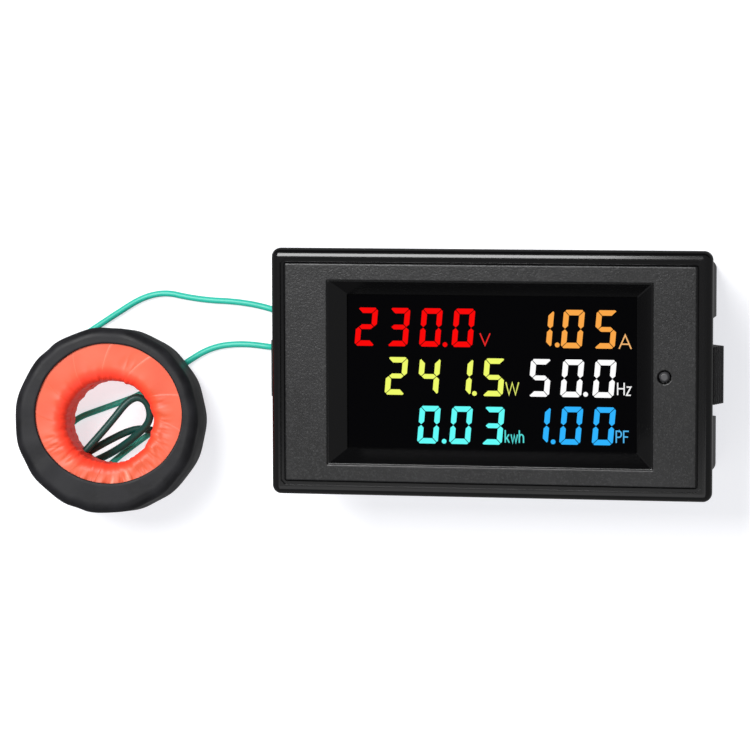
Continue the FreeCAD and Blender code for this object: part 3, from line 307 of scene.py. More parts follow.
def off_centre_radius(radii, shift, turn):
    """The distance from the ring's axis to an oval set off the axis."""
    oval = radii[0] * radii[1] / math.hypot(radii[1] * math.cos(turn), radii[0] * math.sin(turn))
    return oval + shift[0] * math.cos(turn) + shift[1] * math.sin(turn)


CORNER_STEPS = 12


def rounded_section(inner, outer, half, inner_cut, outer_cut, steps):
    """Points (radius, height, normal radius, normal height) evenly spaced round a ring's section.

    They start at the middle of the hole's wall, run up over the flat top and down the outside.
    """
    corners = [
        (inner + inner_cut, half - inner_cut, inner_cut, 180, 90),
        (outer - outer_cut, half - outer_cut, outer_cut, 90, 0),
        (outer - outer_cut, -half + outer_cut, outer_cut, 0, -90),
        (inner + inner_cut, -half + inner_cut, inner_cut, 270, 180)]
    outline = [(inner, 0.0, -1.0, 0.0)]
    for radius, height, cut, first, last in corners:
        for step in range(CORNER_STEPS + 1):
            angle = math.radians(first + (last - first) * step / CORNER_STEPS)
            out = math.cos(angle)
            up = math.sin(angle)
            outline.append((radius + cut * out, height + cut * up, out, up))
    outline.append(outline[0])
    lengths = [0.0]
    for a, b in zip(outline, outline[1:]):
        lengths.append(lengths[-1] + math.hypot(b[0] - a[0], b[1] - a[1]))
    points = []
    place = 0
    for step in range(steps):
        target = lengths[-1] * step / steps
        while lengths[place + 1] < target:
            place += 1
        share = (target - lengths[place]) / (lengths[place + 1] - lengths[place])
        points.append(tuple(a + (b - a) * share for a, b in zip(outline[place], outline[place + 1])))
    return points


def ring_mesh(name, rows):
    """A mesh over rows of (radius, height, turn) points, each row one station round the ring."""
    count = len(rows)
    size = len(rows[0])
    vertices = []
    for row in rows:
        for radius, height, turn in row:
            vertices.append((radius * math.cos(turn) * MM, radius * math.sin(turn) * MM, height * MM))
    faces = []
    for i in range(count):
        following = (i + 1) % count
        for k in range(size):
            beside = (k + 1) % size
            faces.append((i * size + k, following * size + k, following * size + beside, i * size + beside))
    mesh = bpy.data.meshes.new(name)
    mesh.from_pydata(vertices, [], faces)
    mesh.polygons.foreach_set("use_smooth", [True] * len(faces))
    mesh.update()
    obj = bpy.data.objects.new(name, mesh)
    obj.matrix_world = ring_matrix
    bpy.context.scene.collection.objects.link(obj)
    return obj


print("ring axis", [round(v, 3) for v in ring_matrix.to_3x3() @ Vector((0, 0, 1))])

# %% [markdown]
# The tape's surface is that section, moved outwards a little at each place. Each station
# belongs to a lap, and the surface rises slowly over the lap and drops at its edge. Noise
# that closes on itself round the ring adds the lumps of the winding below, the fold where the
# tape rolls into the hole, and the crushed wrinkles, in the groups that the photograph shows.
# A point attribute keeps where the film stands up and where a lap ends, so that the colour can paint a pale
# highlight there.

# %% Tape
TAPE_STATIONS = 1080
TAPE_STEPS = 200
LAP_RISE_MM = 0.13
LAP_DROP_DEG = 1.2
LAP_SLANT_DEG = 15.0
# Where each lap ends round the ring, in degrees, and its share of the rise
LAPS = [
    (31, 0.4), (67, 0.8), (98, 1.0), (128, 0.5), (158, 0.25), (186, 0.3), (214, 0.4), (243, 0.35),
    (268, 0.7), (291, 0.4), (316, 0.5), (342, 0.35), (364, 0.25)]
# Each group of wrinkles: its place in degrees, its distance from the axis, strength and spread
WRINKLE_GROUPS = [
    (205, 10.6, 0.2, 10), (226, 9.6, 0.3, 9), (252, 11.6, 0.2, 9), (273, 12.2, 0.34, 9),
    (292, 11.4, 0.34, 9), (310, 11.2, 0.3, 10), (330, 10.6, 0.26, 12), (352, 10.2, 0.2, 12),
    (14, 10.0, 0.12, 10), (68, 11.0, 0.12, 6)]
WRINKLE_REACH_MM = 1.5
WRINKLE_SKEW = 0.3
# Each kind of unevenness: height in mm, grains round the ring, grains across it, and a seed
BULGE = (0.14, 14, 1.5, 0.0)
WRINKLE = (1.3, 48, 1.6, 40.0)
CREASE = (0.39, 120, 2.5, 80.0)
ROLL_FOLD = (0.3, 40, 1.5, 60.0)
RAGGED = (0.12, 90, 0.25, 120.0)
FACES_APART = 3
ROLL_PLACE = 0.1
ROLL_SPREAD = 0.16
# Painted highlight: how pale the wrinkle crests and the lap edges are painted
CREST_HIGHLIGHT_PER_MM = 3.85
LAP_EDGE_HIGHLIGHT = 0.7


def lap_height(turn_deg):
    """Height over one lap, and how near its edge is: a slow rise, then a short drop to the next lap."""
    first_edge = LAPS[-1][0] - 360
    turn_deg = (turn_deg - first_edge) % 360 + first_edge
    start = first_edge
    for end, height in LAPS:
        if turn_deg < end:
            break
        start = end
    from_edge = end - turn_deg
    if from_edge < LAP_DROP_DEG:
        return height * from_edge / LAP_DROP_DEG, height * (1 - from_edge / LAP_DROP_DEG)
    return height * (1 - from_edge / (end - start)), 0.0


def wrinkle_weight(turn_deg, radius_mm):
    """How much the tape is crushed at one place, from the groups of wrinkles seen on the ring."""
    weight = 0.0
    for middle, reach, strength, spread in WRINKLE_GROUPS:
        along = ((turn_deg - middle + 180) % 360 - 180) / spread
        outward = (radius_mm - reach) / WRINKLE_REACH_MM
        weight += strength * math.exp(-along ** 2 - outward ** 2)
    return weight


def uneven(kind, turn, across=0.0, side=0):
    """The height of one kind of unevenness at a place; it closes on itself round the ring."""
    height_mm, grains_round, grains_across, seed = kind
    reach = grains_round / (2 * math.pi)
    depth = grains_across * across + FACES_APART * side
    place = Vector((reach * math.cos(turn) + seed, reach * math.sin(turn), depth))
    return height_mm * field.noise(place)


section = rounded_section(
    TAPE_INNER_MM, TAPE_OUTER_MM, TAPE_HALF_MM, TAPE_INNER_ROUNDING_MM, TAPE_OUTER_ROUNDING_MM, TAPE_STEPS)
tape_rows = []
tape_crest_highlights = []
for station in range(TAPE_STATIONS):
    turn = 2 * math.pi * station / TAPE_STATIONS
    turn_deg = math.degrees(turn)
    hole = off_centre_radius(HOLE_RADII_MM, HOLE_SHIFT_MM, turn)
    stretch = (TAPE_OUTER_MM - hole) / (TAPE_OUTER_MM - TAPE_INNER_MM)
    row = []
    for radius, height, normal_r, normal_h in section:
        outward = (radius - TAPE_INNER_MM) / (TAPE_OUTER_MM - TAPE_INNER_MM)
        side = 1 if height > 0 else -1
        rise, edge = lap_height(turn_deg + side * LAP_SLANT_DEG * outward)
        weight = wrinkle_weight(turn_deg, radius)
        crush = uneven(WRINKLE, turn + WRINKLE_SKEW * outward, outward, side)
        crush += uneven(CREASE, turn, outward, side)
        roll = math.exp(-((outward - ROLL_PLACE) / ROLL_SPREAD) ** 2)
        wall = max(0.0, -normal_r)
        lift = LAP_RISE_MM * rise
        lift += uneven(BULGE, turn, outward, side)
        lift += weight * crush
        lift += roll * uneven(ROLL_FOLD, turn, outward, side)
        lift += wall * uneven(RAGGED, turn, height)
        # Painted highlight: wrinkle crests and lap edges are painted pale, and the amount is kept per point
        # for the film's colour.
        painted_highlight = CREST_HIGHLIGHT_PER_MM * weight * crush + LAP_EDGE_HIGHLIGHT * edge * (1 - roll)
        tape_crest_highlights.append(max(0.0, min(1.0, painted_highlight)))
        drawn = TAPE_OUTER_MM - (TAPE_OUTER_MM - radius) * stretch
        row.append((drawn + normal_r * lift, height + normal_h * lift, turn))
    tape_rows.append(row)
tape = ring_mesh("wrapping_film_tape", tape_rows)
tape.data.attributes.new("crest_highlight", "FLOAT", "POINT").data.foreach_set("value", tape_crest_highlights)
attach(tape, "meter")
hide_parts("wrapping_tape")
print("tape faces", len(tape.data.polygons))

# %% [markdown]
# ## The shrink band
#
# A wide black heat-shrink band was pulled over the taped ring and shrunk with hot air. It
# draws flat between the high spots of the winding, so its outline is a soft polygon, and it
# turns over both faces in a lap that is narrow at the top and wide at the bottom.

# %% Band
BAND_STATIONS = 720
BAND_OUTER_MM = 17.15
BAND_HALF_MM = 6.25
BAND_THICKNESS_MM = 0.5
BAND_OPENING_RADII_MM = (13.6, 12.8)
BAND_OPENING_SHIFT_MM = (0.6, 1.3)
BAND_ROUNDING_MM = 1.7
BAND_FLATS = 15
BAND_FLAT_DEPTH_MM = 0.16
BAND_FLAT_PLAY = 0.22
OPENING_WOBBLE = (0.12, 18, 0.0, 200.0)
FACE_SWELL = (0.1, 24, 0.0, 240.0)
LIP_STEPS = 6
BAND_STEPS = 8

dice = random.Random(5)
flat_turns = []
for k in range(BAND_FLATS):
    flat_turns.append(2 * math.pi * (k + dice.uniform(-BAND_FLAT_PLAY, BAND_FLAT_PLAY)) / BAND_FLATS)
flat_turns.sort()


def flatness(turn):
    """0 on a corner of the soft polygon and 1 in the middle of a flat."""
    turn = turn % (2 * math.pi)
    before = [t for t in flat_turns if t <= turn] or [flat_turns[-1] - 2 * math.pi]
    after = [t for t in flat_turns if t > turn] or [flat_turns[0] + 2 * math.pi]
    share = (turn - before[-1]) / (after[0] - before[-1])
    return math.sin(math.pi * share) ** 2


def section_arc(radius, height, cut, first_deg, last_deg, steps, turn):
    """Points of a round stretch of the section, from one angle to the other."""
    points = []
    for step in range(steps + 1):
        angle = math.radians(first_deg + (last_deg - first_deg) * step / steps)
        points.append((radius + cut * math.cos(angle), height + cut * math.sin(angle), turn))
    return points


def band_row(turn):
    """The band's section at one station: lip, front lap, outside, rear lap and lip."""
    outer = BAND_OUTER_MM - BAND_FLAT_DEPTH_MM * flatness(turn)
    half = BAND_HALF_MM + uneven(FACE_SWELL, turn)
    opening = off_centre_radius(BAND_OPENING_RADII_MM, BAND_OPENING_SHIFT_MM, turn)
    opening += uneven(OPENING_WOBBLE, turn)
    lip = BAND_THICKNESS_MM / 2
    start = opening + lip
    reach = outer - BAND_ROUNDING_MM
    shoulder = half - BAND_ROUNDING_MM
    lap = [start + (reach - start) * step / BAND_STEPS for step in range(1, BAND_STEPS)]
    row = section_arc(start, half - lip, lip, 270, 90, LIP_STEPS, turn)
    row += [(radius, half, turn) for radius in lap]
    row += section_arc(reach, shoulder, BAND_ROUNDING_MM, 90, 0, BAND_STEPS, turn)
    row += section_arc(reach, -shoulder, BAND_ROUNDING_MM, 0, -90, BAND_STEPS, turn)
    row += [(radius, -half, turn) for radius in reversed(lap)]
    row += section_arc(start, lip - half, lip, 270, 90, LIP_STEPS, turn)
    return row


band_rows = [band_row(2 * math.pi * k / BAND_STATIONS) for k in range(BAND_STATIONS)]
band = ring_mesh("shrink_band_skin", band_rows)
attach(band, "meter")
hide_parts("shrink_band")
print("band faces", len(band.data.polygons))

# %% [markdown]
# The tape is a thin red polyester film over pale layers. It is bright orange-red where it
# lies flat and deeper red in the hole's mouth where light bounces between its walls. Where a
# wrinkle stands up or a lap ends, it is painted pale as a painted highlight. The band is black
# polyolefin, which shrinks to a soft sheen.

# %% Tape and band materials
MOUTH_START_MM = 10.1
MOUTH_END_MM = 8.7

film, film_surface = new_material(
    "red polyester film tape", Roughness=0.42, IOR=1.58, Specular_IOR_Level=0.25)
patch = noise(film, 7.0, 2.0)
flat_red = ramp(film, patch, [(0.35, "#D24E2E"), (0.65, "#D85838")])
place = add(film, "ShaderNodeTexCoord")
level = add(film, "ShaderNodeVectorMath", {0: place.outputs["Object"], 1: (1, 1, 0)}, operation="MULTIPLY")
from_axis = add(film, "ShaderNodeVectorMath", {0: level.outputs["Vector"]}, operation="LENGTH")
mouth = grey_ramp(film, from_axis.outputs["Value"], MOUTH_START_MM * MM, MOUTH_END_MM * MM)
deep_red = mix_colour(film, mouth, flat_red, "#F8442E")
# Painted highlight: the pale colour on wrinkle crests and lap edges, mixed over the red.
crest_highlight = add(film, "ShaderNodeAttribute", attribute_name="crest_highlight").outputs["Fac"]
link(film, mix_colour(film, crest_highlight, deep_red, "#EE8E78"), film_surface, "Base Color")
link(film, bump(film, noise(film, 1.6, 2.0), 0.04, 0.3), film_surface, "Normal")
clothe(tape, film)

shrink, shrink_surface = new_material("black heat-shrink", IOR=1.5, Specular_IOR_Level=0.15)
mottle = noise(shrink, 5.0, 3.0)
link(shrink, ramp(shrink, mottle, [(0.35, "#161618"), (0.7, "#242427")]), shrink_surface, "Base Color")
link(shrink, grey_ramp(shrink, mottle, 0.3, 0.7, 0.36, 0.55), shrink_surface, "Roughness")
link(shrink, bump(shrink, noise(shrink, 2.5, 2.0), 0.12, 0.3), shrink_surface, "Normal")
clothe(band, shrink)
print("tape and band dressed")

# %% [markdown]
# ## The lit figures
#
# The display is a negative one: a black ground with clear segments, lit from behind through
# a film that is a different colour for each reading. Each digit is the seven-segment figure,
# leaning five degrees. Its segments are cut at 45 degrees where they meet, with thin dark
# gaps, and the outer corners are cut off. One mesh per reading keeps a colour together.

# %% Figures
FIGURE_Z_MM = 22.02
DIGIT_SLANT_DEG = 5.0
STROKE_MM = 0.97
GAP_MM = 0.12
MITRE_SHARE = 0.71
CORNER_CUT_MM = 0.5
DOT_RADIUS_MM = 0.43
DOT_SIDES = 24
SEGMENTS = {"0": "abcdef", "1": "bc", "2": "abged", "3": "abgcd", "4": "fgbc", "5": "afgcd"}


def segment_outlines(width, height):
    """The outlines of the seven segments in an upright cell, under their usual letters."""
    stroke = STROKE_MM
    gap = GAP_MM / 2
    mitre = GAP_MM * MITRE_SHARE
    cut = CORNER_CUT_MM
    middle = height / 2
    top = [
        ((cut + mitre) / 2, height - (cut - mitre) / 2), (cut, height), (width - cut, height),
        (width - (cut + mitre) / 2, height - (cut - mitre) / 2), (width - stroke - mitre, height - stroke),
        (stroke + mitre, height - stroke)]
    upper_right = [
        (width - (cut - mitre) / 2, height - (cut + mitre) / 2), (width, height - cut),
        (width, middle + stroke / 2), (width - stroke / 2, middle + gap),
        (width - stroke, middle + stroke / 2 + mitre), (width - stroke, height - stroke - mitre)]
    bar = [
        (stroke / 2 + mitre, middle), (stroke + mitre, middle + stroke / 2 - gap),
        (width - stroke - mitre, middle + stroke / 2 - gap), (width - stroke / 2 - mitre, middle),
        (width - stroke - mitre, middle - stroke / 2 + gap), (stroke + mitre, middle - stroke / 2 + gap)]
    lower_right = [(x, height - y) for x, y in upper_right]
    bottom = [(x, height - y) for x, y in top]
    upper_left = [(width - x, y) for x, y in upper_right]
    lower_left = [(width - x, y) for x, y in lower_right]
    return {
        "a": top, "b": upper_right, "c": lower_right, "d": bottom, "e": lower_left, "f": upper_left,
        "g": bar}


def keep_glow_in(obj):
    """The studio lights are far stronger than the display, whose light doesn't show on the frame."""
    obj.visible_diffuse = False
    obj.visible_glossy = False


def figure_piece(name, digits, dots, bottom, height, width):
    """One reading: digits is (character, left edge of its cell), dots are centres."""
    lean = math.tan(math.radians(DIGIT_SLANT_DEG))
    upright = width - height * lean
    outlines = segment_outlines(upright, height)
    vertices = []
    faces = []
    for character, left in digits:
        for key in SEGMENTS[character]:
            start = len(vertices)
            for x, y in outlines[key]:
                vertices.append(((left + x + y * lean) * MM, (bottom + y) * MM, FIGURE_Z_MM * MM))
            faces.append(tuple(range(start, len(vertices))))
    for x, y in dots:
        start = len(vertices)
        for step in range(DOT_SIDES):
            turn = 2 * math.pi * step / DOT_SIDES
            vertices.append((
                (x + DOT_RADIUS_MM * math.cos(turn)) * MM, (y + DOT_RADIUS_MM * math.sin(turn)) * MM,
                FIGURE_Z_MM * MM))
        faces.append(tuple(range(start, len(vertices))))
    mesh = bpy.data.meshes.new(name)
    mesh.from_pydata(vertices, [], faces)
    obj = bpy.data.objects.new(name, mesh)
    bpy.context.scene.collection.objects.link(obj)
    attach(obj, "meter")
    keep_glow_in(obj)
    return obj


CELL_WIDTH_MM = 4.35
READINGS = {
    "volts": ([("2", -24.74), ("3", -18.88), ("0", -13.02), ("0", -7.16)], [(-8.31, 5.0)], 4.6, 6.85),
    "amperes": ([("1", 6.98), ("0", 12.44), ("5", 18.3)], [(11.84, 5.2)], 4.65, 6.8),
    "watts": ([("2", -19.3), ("4", -13.4), ("1", -7.5), ("5", -1.7)], [(-3.0, -3.65)], -4.1, 6.75),
    "hertz": ([("5", 6.6), ("0", 12.35), ("0", 18.1)], [(16.92, -3.5)], -4.05, 6.7),
    "energy": ([("0", -13.41), ("0", -7.6), ("3", -1.85)], [(-8.48, -12.3)], -12.75, 6.75),
    "power_factor": ([("1", 6.4), ("0", 12.19), ("0", 18.0)], [(11.14, -12.05)], -12.5, 6.75)}
FIGURE_COLOURS = {
    "volts": "#FB0A0A", "amperes": "#FBA84A", "watts": "#F0FB6B", "hertz": "#FFFFFF", "energy": "#64FDF9",
    "power_factor": "#30B4FF"}
FIGURE_GLOW = 1.0


def glow_material(name, colour, strength):
    """A lit segment: plain emission, with no shine of its own."""
    material = bpy.data.materials.new(name)
    material.use_nodes = True
    material.node_tree.nodes.clear()
    light = add(material, "ShaderNodeEmission", {"Color": to_linear(colour), "Strength": strength})
    add(material, "ShaderNodeOutputMaterial", {"Surface": light.outputs["Emission"]})
    return material


for reading, (digits, dots, bottom, height) in READINGS.items():
    piece = figure_piece("figures_" + reading, digits, dots, bottom, height, CELL_WIDTH_MM)
    clothe(piece, glow_material("lit " + reading.replace("_", " "), FIGURE_COLOURS[reading], FIGURE_GLOW))
print("readings", len(READINGS))

# %% [markdown]
# The unit beside each reading is part of the same clear pattern: thin letters without serifs.
# Each letter is a few strokes in a unit square, drawn as flat ribbons of one width.

# %% Unit letters
UNIT_STROKE_MM = 0.24
UNIT_GLOW = 0.9
SHARPEST_MITRE = 0.42


def bow(cx, cy, rx, ry, first, last, steps=10):
    """Points on an arc of an ellipse, for the round parts of letters."""
    return [
        (cx + rx * math.cos(math.radians(first + (last - first) * k / steps)),
         cy + ry * math.sin(math.radians(first + (last - first) * k / steps))) for k in range(steps + 1)]


LETTERS = {
    "V": [[(0, 1), (0.5, 0), (1, 1)]],
    "A": [[(0, 0), (0.5, 1), (1, 0)], [(0.2, 0.34), (0.8, 0.34)]],
    "W": [[(0, 1), (0.25, 0), (0.5, 0.95), (0.75, 0), (1, 1)]],
    "H": [[(0, 0), (0, 1)], [(1, 0), (1, 1)], [(0, 0.52), (1, 0.52)]],
    "z": [[(0, 0.66), (1, 0.66), (0, 0), (1, 0)]],
    "k": [[(0, 0), (0, 1)], [(0.9, 0.66), (0.1, 0.26)], [(0.36, 0.4), (0.95, 0)]],
    "w": [[(0, 0.66), (0.25, 0), (0.5, 0.62), (0.75, 0), (1, 0.66)]],
    "h": [[(0, 0), (0, 1)], [(0, 0.36)] + bow(0.5, 0.38, 0.5, 0.28, 180, 0) + [(1, 0)]],
    "P": [[(0, 0), (0, 1), (0.5, 1)] + bow(0.5, 0.74, 0.46, 0.26, 90, -90) + [(0, 0.48)]],
    "F": [[(1, 1), (0, 1), (0, 0)], [(0, 0.52), (0.85, 0.52)]]}
UNITS = {
    "volts": [("V", -2.0, 1.8)],
    "amperes": [("A", 22.85, 2.15)],
    "watts": [("W", 2.65, 2.3)],
    "hertz": [("H", 22.62, 1.15), ("z", 24.2, 0.75)],
    "energy": [("k", 2.55, 0.75), ("w", 3.6, 1.15), ("h", 5.08, 0.75)],
    "power_factor": [("P", 22.4, 0.95), ("F", 23.72, 0.9)]}
UNIT_HEIGHTS = {
    "volts": (5.0, 7.1), "amperes": (4.66, 7.1), "watts": (-3.75, -1.55), "hertz": (-3.55, -1.35),
    "energy": (-12.35, -10.1), "power_factor": (-12.05, -9.95)}
UNIT_COLOURS = {
    "volts": "#F02A2A", "amperes": "#FFC07A", "watts": "#E8F070", "hertz": "#FFFFFF", "energy": "#5BE6E2",
    "power_factor": "#58BEF8"}


def ribbon(points, width):
    """The left and right edges of a flat ribbon along a line, mitred at its corners."""
    left = []
    right = []
    for k, point in enumerate(points):
        here = Vector(point)
        before = Vector(points[k - 1]) if k > 0 else None
        after = Vector(points[k + 1]) if k + 1 < len(points) else None
        ways = []
        if before is not None:
            ways.append((here - before).normalized())
        if after is not None:
            ways.append((after - here).normalized())
        way = sum(ways, Vector((0, 0)))
        way = way.normalized() if way.length > 1e-6 else ways[0]
        across = Vector((-way.y, way.x))
        stretch = 1 / max(SHARPEST_MITRE, abs(across.dot(Vector((-ways[0].y, ways[0].x)))))
        left.append(here + across * width / 2 * stretch)
        right.append(here - across * width / 2 * stretch)
    return left, right


for reading, letters in UNITS.items():
    low, high = UNIT_HEIGHTS[reading]
    vertices = []
    faces = []
    for letter, left_x, width in letters:
        for stroke in LETTERS[letter]:
            line = [(left_x + x * width, low + y * (high - low)) for x, y in stroke]
            one, other = ribbon(line, UNIT_STROKE_MM)
            start = len(vertices)
            for p, q in zip(one, other):
                vertices.append((p.x * MM, p.y * MM, FIGURE_Z_MM * MM))
                vertices.append((q.x * MM, q.y * MM, FIGURE_Z_MM * MM))
            for k in range(len(one) - 1):
                faces.append((start + 2 * k, start + 2 * k + 1, start + 2 * k + 3, start + 2 * k + 2))
    mesh = bpy.data.meshes.new("unit_" + reading)
    mesh.from_pydata(vertices, [], faces)
    piece = bpy.data.objects.new("unit_" + reading, mesh)
    bpy.context.scene.collection.objects.link(piece)
    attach(piece, "meter")
    keep_glow_in(piece)
    clothe(piece, glow_material("lit unit " + reading.replace("_", " "), UNIT_COLOURS[reading], UNIT_GLOW))
print("units", sorted(UNITS))

# %% [markdown]
# ## The bezel
#
# The bezel is one black ABS moulding, but the tool that made it had three finishes: a spark
# texture on the raised face, a polished rim and groove, and polished slopes round the window.
# The finish follows the place on the piece, so the shader reads the piece's own coordinates:
# the raised face is everything above the groove and outside the window. The window's lip is
# too low for a wide bevel, so the shader also rounds the light on the edges of the face.

# %% Bezel material
PLATEAU_HALF_MM = (36.9, 19.5)
WINDOW_HALF_MM = (29.25, 16.55)
PLATEAU_LEVEL_MM = 24.9
FACE_EDGE_MM = 0.35


def multiply(material, a, b):
    return add(material, "ShaderNodeMath", {0: a, 1: b}, operation="MULTIPLY").outputs[0]


def inside_box(material, half_x, half_y):
    """1 where the piece's own |x| and |y| are both less than the half sizes."""
    place = add(material, "ShaderNodeTexCoord")
    axes = add(material, "ShaderNodeSeparateXYZ", {"Vector": place.outputs["Object"]})
    parts = []
    for axis, half in (("X", half_x), ("Y", half_y)):
        size = add(material, "ShaderNodeMath", {0: axes.outputs[axis]}, operation="ABSOLUTE")
        within = add(material, "ShaderNodeMath", {0: size.outputs[0], 1: half * MM}, operation="LESS_THAN")
        parts.append(within.outputs[0])
    return multiply(material, *parts)


def above(material, level_mm):
    """1 where the piece's own z is over the level."""
    place = add(material, "ShaderNodeTexCoord")
    axes = add(material, "ShaderNodeSeparateXYZ", {"Vector": place.outputs["Object"]})
    over = add(material, "ShaderNodeMath", {
        0: axes.outputs["Z"], 1: level_mm * MM}, operation="GREATER_THAN")
    return over.outputs[0]


bezel_abs, bezel_surface = new_material(
    "black ABS, spark textured and polished", IOR=1.54, Specular_IOR_Level=0.36)
on_plateau = inside_box(bezel_abs, *PLATEAU_HALF_MM)
outside_window = add(bezel_abs, "ShaderNodeMath", {
    0: 1.0, 1: inside_box(bezel_abs, *WINDOW_HALF_MM)}, operation="SUBTRACT").outputs[0]
textured = multiply(
    bezel_abs, multiply(bezel_abs, on_plateau, above(bezel_abs, PLATEAU_LEVEL_MM)), outside_window)
grain = noise(bezel_abs, 0.34, 2.0, 0.6)
cloud = noise(bezel_abs, 9.0, 2.0)
face_colour = mix_colour(bezel_abs, grey_ramp(bezel_abs, cloud, 0.35, 0.65), "#0E0E0F", "#171718")
specks = grey_ramp(bezel_abs, grain, 0.5, 0.68)
speckled = mix_colour(bezel_abs, specks, face_colour, "#262627")
link(bezel_abs, mix_colour(bezel_abs, textured, "#0A0A0B", speckled), bezel_surface, "Base Color")
link(bezel_abs, grey_ramp(bezel_abs, textured, 0, 1, 0.13, 0.29), bezel_surface, "Roughness")
edge_radius = multiply(bezel_abs, on_plateau, FACE_EDGE_MM * MM)
rounded = add(bezel_abs, "ShaderNodeBevel", {"Radius": edge_radius}, samples=8)
grained = bump(bezel_abs, multiply(bezel_abs, grain, textured), 0.045, 0.9, rounded.outputs["Normal"])
link(bezel_abs, grained, bezel_surface, "Normal")
print("bezel material nodes", len(bezel_abs.node_tree.nodes))

# %% [markdown]
# ## The other CAD pieces
#
# Every node of the frame gets the finish of the real piece. The few that show in the
# photograph are the button, the housing, the snap arms and the black front of the display.
# The rest shows only through slots, in the open terminals or when the meter is taken apart.

# %% Node materials
housing_abs, housing_surface = new_material(
    "black ABS housing", Base_Color=to_linear("#161618"), Roughness=0.4, IOR=1.54)
link(housing_abs, bump(housing_abs, noise(housing_abs, 0.5, 2.0), 0.04, 0.4), housing_surface, "Normal")
button_plastic, _ = new_material(
    "charcoal button plastic", Base_Color=to_linear("#3A3A3C"), Roughness=0.4, IOR=1.54)
display_black, _ = new_material(
    "black polarising film", Base_Color=to_linear("#010102"), Roughness=0.06, IOR=1.49,
    Specular_IOR_Level=0.08)
glass, _ = new_material(
    "display glass", Base_Color=to_linear("#F4F8F6"), Roughness=0.02, IOR=1.52, Transmission_Weight=1.0)
white_plastic, _ = new_material(
    "white reflector plastic", Base_Color=to_linear("#ECECEA"), Roughness=0.5, IOR=1.54)
light_plate, _ = new_material(
    "frosted acrylic light guide", Base_Color=to_linear("#EEF4F8"), Roughness=0.35, IOR=1.49,
    Transmission_Weight=0.7)
elastomer, _ = new_material(
    "striped contact elastomer", Base_Color=to_linear("#C9A79B"), Roughness=0.7, IOR=1.42)
board, board_surface = new_material("green solder mask", Roughness=0.32, IOR=1.5)
copper_areas = ramp(board, noise(board, 2.0, 2.0), [(0.45, "#0E5A2E"), (0.55, "#157040")])
link(board, copper_areas, board_surface, "Base Color")
chip_resin, chip_surface = new_material(
    "black moulding resin", Base_Color=to_linear("#1E1E20"), Roughness=0.6, IOR=1.55)
link(chip_resin, bump(chip_resin, noise(chip_resin, 0.2, 2.0), 0.02, 0.5), chip_surface, "Normal")
plated, _ = new_material("zinc-plated steel", Base_Color=to_linear("#C4C6C8"), Roughness=0.28, Metallic=1.0)
brass, _ = new_material("brass", Base_Color=to_linear("#D9B56A"), Roughness=0.3, Metallic=1.0)
dipped, _ = new_material("dipped blue resin", Base_Color=to_linear("#1F4E9A"), Roughness=0.35, IOR=1.55)
can_sleeve, _ = new_material(
    "dark blue can sleeve", Base_Color=to_linear("#16233F"), Roughness=0.3, IOR=1.5)
terminal_plastic, _ = new_material(
    "green terminal plastic", Base_Color=to_linear("#2E7A46"), Roughness=0.45, IOR=1.54)
ferrite, _ = new_material("grey ferrite", Base_Color=to_linear("#4A4B4E"), Roughness=0.6, IOR=1.6)
copper, _ = new_material(
    "enamelled copper wire", Base_Color=to_linear("#B4582E"), Roughness=0.3, Metallic=1.0)

NODE_MATERIALS = {
    "front_bezel": bezel_abs, "rear_housing": housing_abs, "snap_arm": housing_abs,
    "set_button": button_plastic, "switch_plunger": button_plastic, "switch_body": chip_resin,
    "display_front_polariser": display_black, "colour_film": display_black,
    "display_front_glass": glass, "display_rear_glass": glass, "light_guide": light_plate,
    "reflector_tray": white_plastic, "backlight_lamp": white_plastic, "contact_strip": elastomer,
    "display_board": board, "power_board": board, "display_board_screw": plated,
    "power_board_screw": plated, "display_driver_chip": chip_resin, "measuring_chip": chip_resin,
    "rectifier": chip_resin, "burden_resistor": chip_resin, "board_link_block": chip_resin,
    "board_link_pins": brass, "crystal": plated, "dropper_capacitor": dipped, "surge_disc": dipped,
    "fuse_resistor": dipped, "storage_capacitor": can_sleeve, "terminal_block": terminal_plastic,
    "contact_bar": brass, "clamp_cage": plated, "clamp_screw": plated, "ferrule": plated,
    "transformer_core": ferrite, "transformer_winding": copper, "wrapping_tape": film,
    "shrink_band": shrink, "lead_": lead_pvc, "sleeve_": sleeve_dark_and_shade}
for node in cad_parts:
    key = max((k for k in NODE_MATERIALS if node.startswith(k)), key=len)
    clothe(bpy.data.objects[node], NODE_MATERIALS[key])
print("nodes dressed", len(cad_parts))

# %% [markdown]
# The moulded edges of the bezel, housing, arms and button are slightly rounded on the real
# pieces. A narrow bevel lets them catch the light as thin bright lines. The CAD faces come
# with their corners apart, so they are welded first, or the bevel would find no edge, and
# flat triangles are joined, or their short sides would hold the bevel back.

# %% Edge bevels
EDGE_BEVELS_MM = {
    "front_bezel": 0.15, "rear_housing": 0.15, "snap_arm_left": 0.12, "snap_arm_right": 0.12,
    "set_button": 0.08}
WELD_MM = 0.002
FLAT_DEG = 0.5
SHARP_DEG = 40
for node, width in EDGE_BEVELS_MM.items():
    weld = bpy.data.objects[node].modifiers.new("joined faces", "WELD")
    weld.merge_threshold = WELD_MM * MM
    flats = bpy.data.objects[node].modifiers.new("flat faces", "DECIMATE")
    flats.decimate_type = "DISSOLVE"
    flats.angle_limit = math.radians(FLAT_DEG)
    bevel = bpy.data.objects[node].modifiers.new("moulded edge", "BEVEL")
    bevel.width = width * MM
    bevel.segments = 3
    bevel.limit_method = "ANGLE"
    bevel.angle_limit = math.radians(SHARP_DEG)
    bevel.harden_normals = True
print("bevels", len(EDGE_BEVELS_MM))

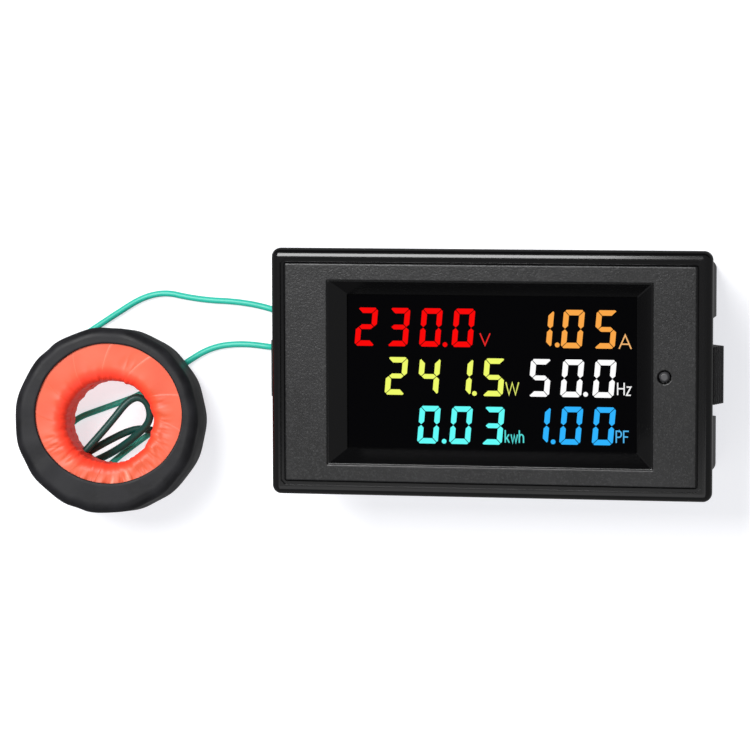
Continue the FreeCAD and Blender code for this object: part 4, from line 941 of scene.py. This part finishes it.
# %% [markdown]
# ## Floor and light
#
# The product lies on a white sheet that is lit from below, as catalogue pictures are taken, so
# that shadows hardly show. Black flags round such a set keep the bright sheet out of the
# reflections in the product's edges; here the sheet is left out of reflections. Two softboxes
# face straight down. One hangs past the top edge and to the left: it draws the bright line
# along the rim and leaves the faces that look at the camera dark. A broad weak one past the
# lower edge lifts the rim there. A black card stands upright past the top edge, out of the
# picture, and keeps the rim's outer side and the window's lower slope dark.

# %% Floor and lights
FLOOR_HALF_MM = 900.0
FLOOR_DROP_MM = 0.03
floor_mesh = bpy.data.meshes.new("floor")
half = FLOOR_HALF_MM * MM
drop = -FLOOR_DROP_MM * MM
floor_corners = [(-half, -half, drop), (half, -half, drop), (half, half, drop), (-half, half, drop)]
floor_mesh.from_pydata(floor_corners, [], [(0, 1, 2, 3)])
floor = bpy.data.objects.new("floor", floor_mesh)
bpy.context.scene.collection.objects.link(floor)
floor_sheet, _ = new_material(
    "back-lit white acrylic", Base_Color=to_linear("#B4B4B4"), Roughness=0.85, IOR=1.49,
    Emission_Color=to_linear("#F9FAFF"), Emission_Strength=0.71)
clothe(floor, floor_sheet)
floor.visible_glossy = False

CARD_HALF_MM = 600.0
CARD_Y_MM = 260.0
CARD_TOP_MM = 150.0
card_corners = [
    (-CARD_HALF_MM, 0.0), (CARD_HALF_MM, 0.0), (CARD_HALF_MM, CARD_TOP_MM), (-CARD_HALF_MM, CARD_TOP_MM)]
card_mesh = bpy.data.meshes.new("black_card")
card_mesh.from_pydata([(x * MM, CARD_Y_MM * MM, z * MM) for x, z in card_corners], [], [(0, 1, 2, 3)])
card = bpy.data.objects.new("black_card", card_mesh)
bpy.context.scene.collection.objects.link(card)
card_paper, _ = new_material("black card", Base_Color=to_linear("#050505"), Roughness=0.9)
clothe(card, card_paper)
card.visible_camera = False
card.visible_shadow = False

# Each softbox: where it hangs, its size in X and Y, and its power in watts
SOFTBOXES_MM = {
    "key softbox": ((-300, 440, 800), (460, 600), 13.0),
    "lower softbox": ((80, -500, 780), (960, 780), 2.4)}
ROOM_LIGHT = 0.25
for name, (place_mm, size_mm, power) in SOFTBOXES_MM.items():
    softbox = bpy.data.lights.new(name, "AREA")
    softbox.shape = "RECTANGLE"
    softbox.size = size_mm[0] * MM
    softbox.size_y = size_mm[1] * MM
    softbox.energy = power
    lamp = bpy.data.objects.new(name, softbox)
    lamp.location = Vector(place_mm) * MM
    bpy.context.scene.collection.objects.link(lamp)

world = bpy.data.worlds.new("studio")
world.use_nodes = True
background = world.node_tree.nodes["Background"]
background.inputs["Color"].default_value = to_linear("#FFFFFF")
background.inputs["Strength"].default_value = ROOM_LIGHT
bpy.context.scene.world = world
bpy.context.scene.view_settings.view_transform = "Standard"
print("lights placed")

# %% Finish
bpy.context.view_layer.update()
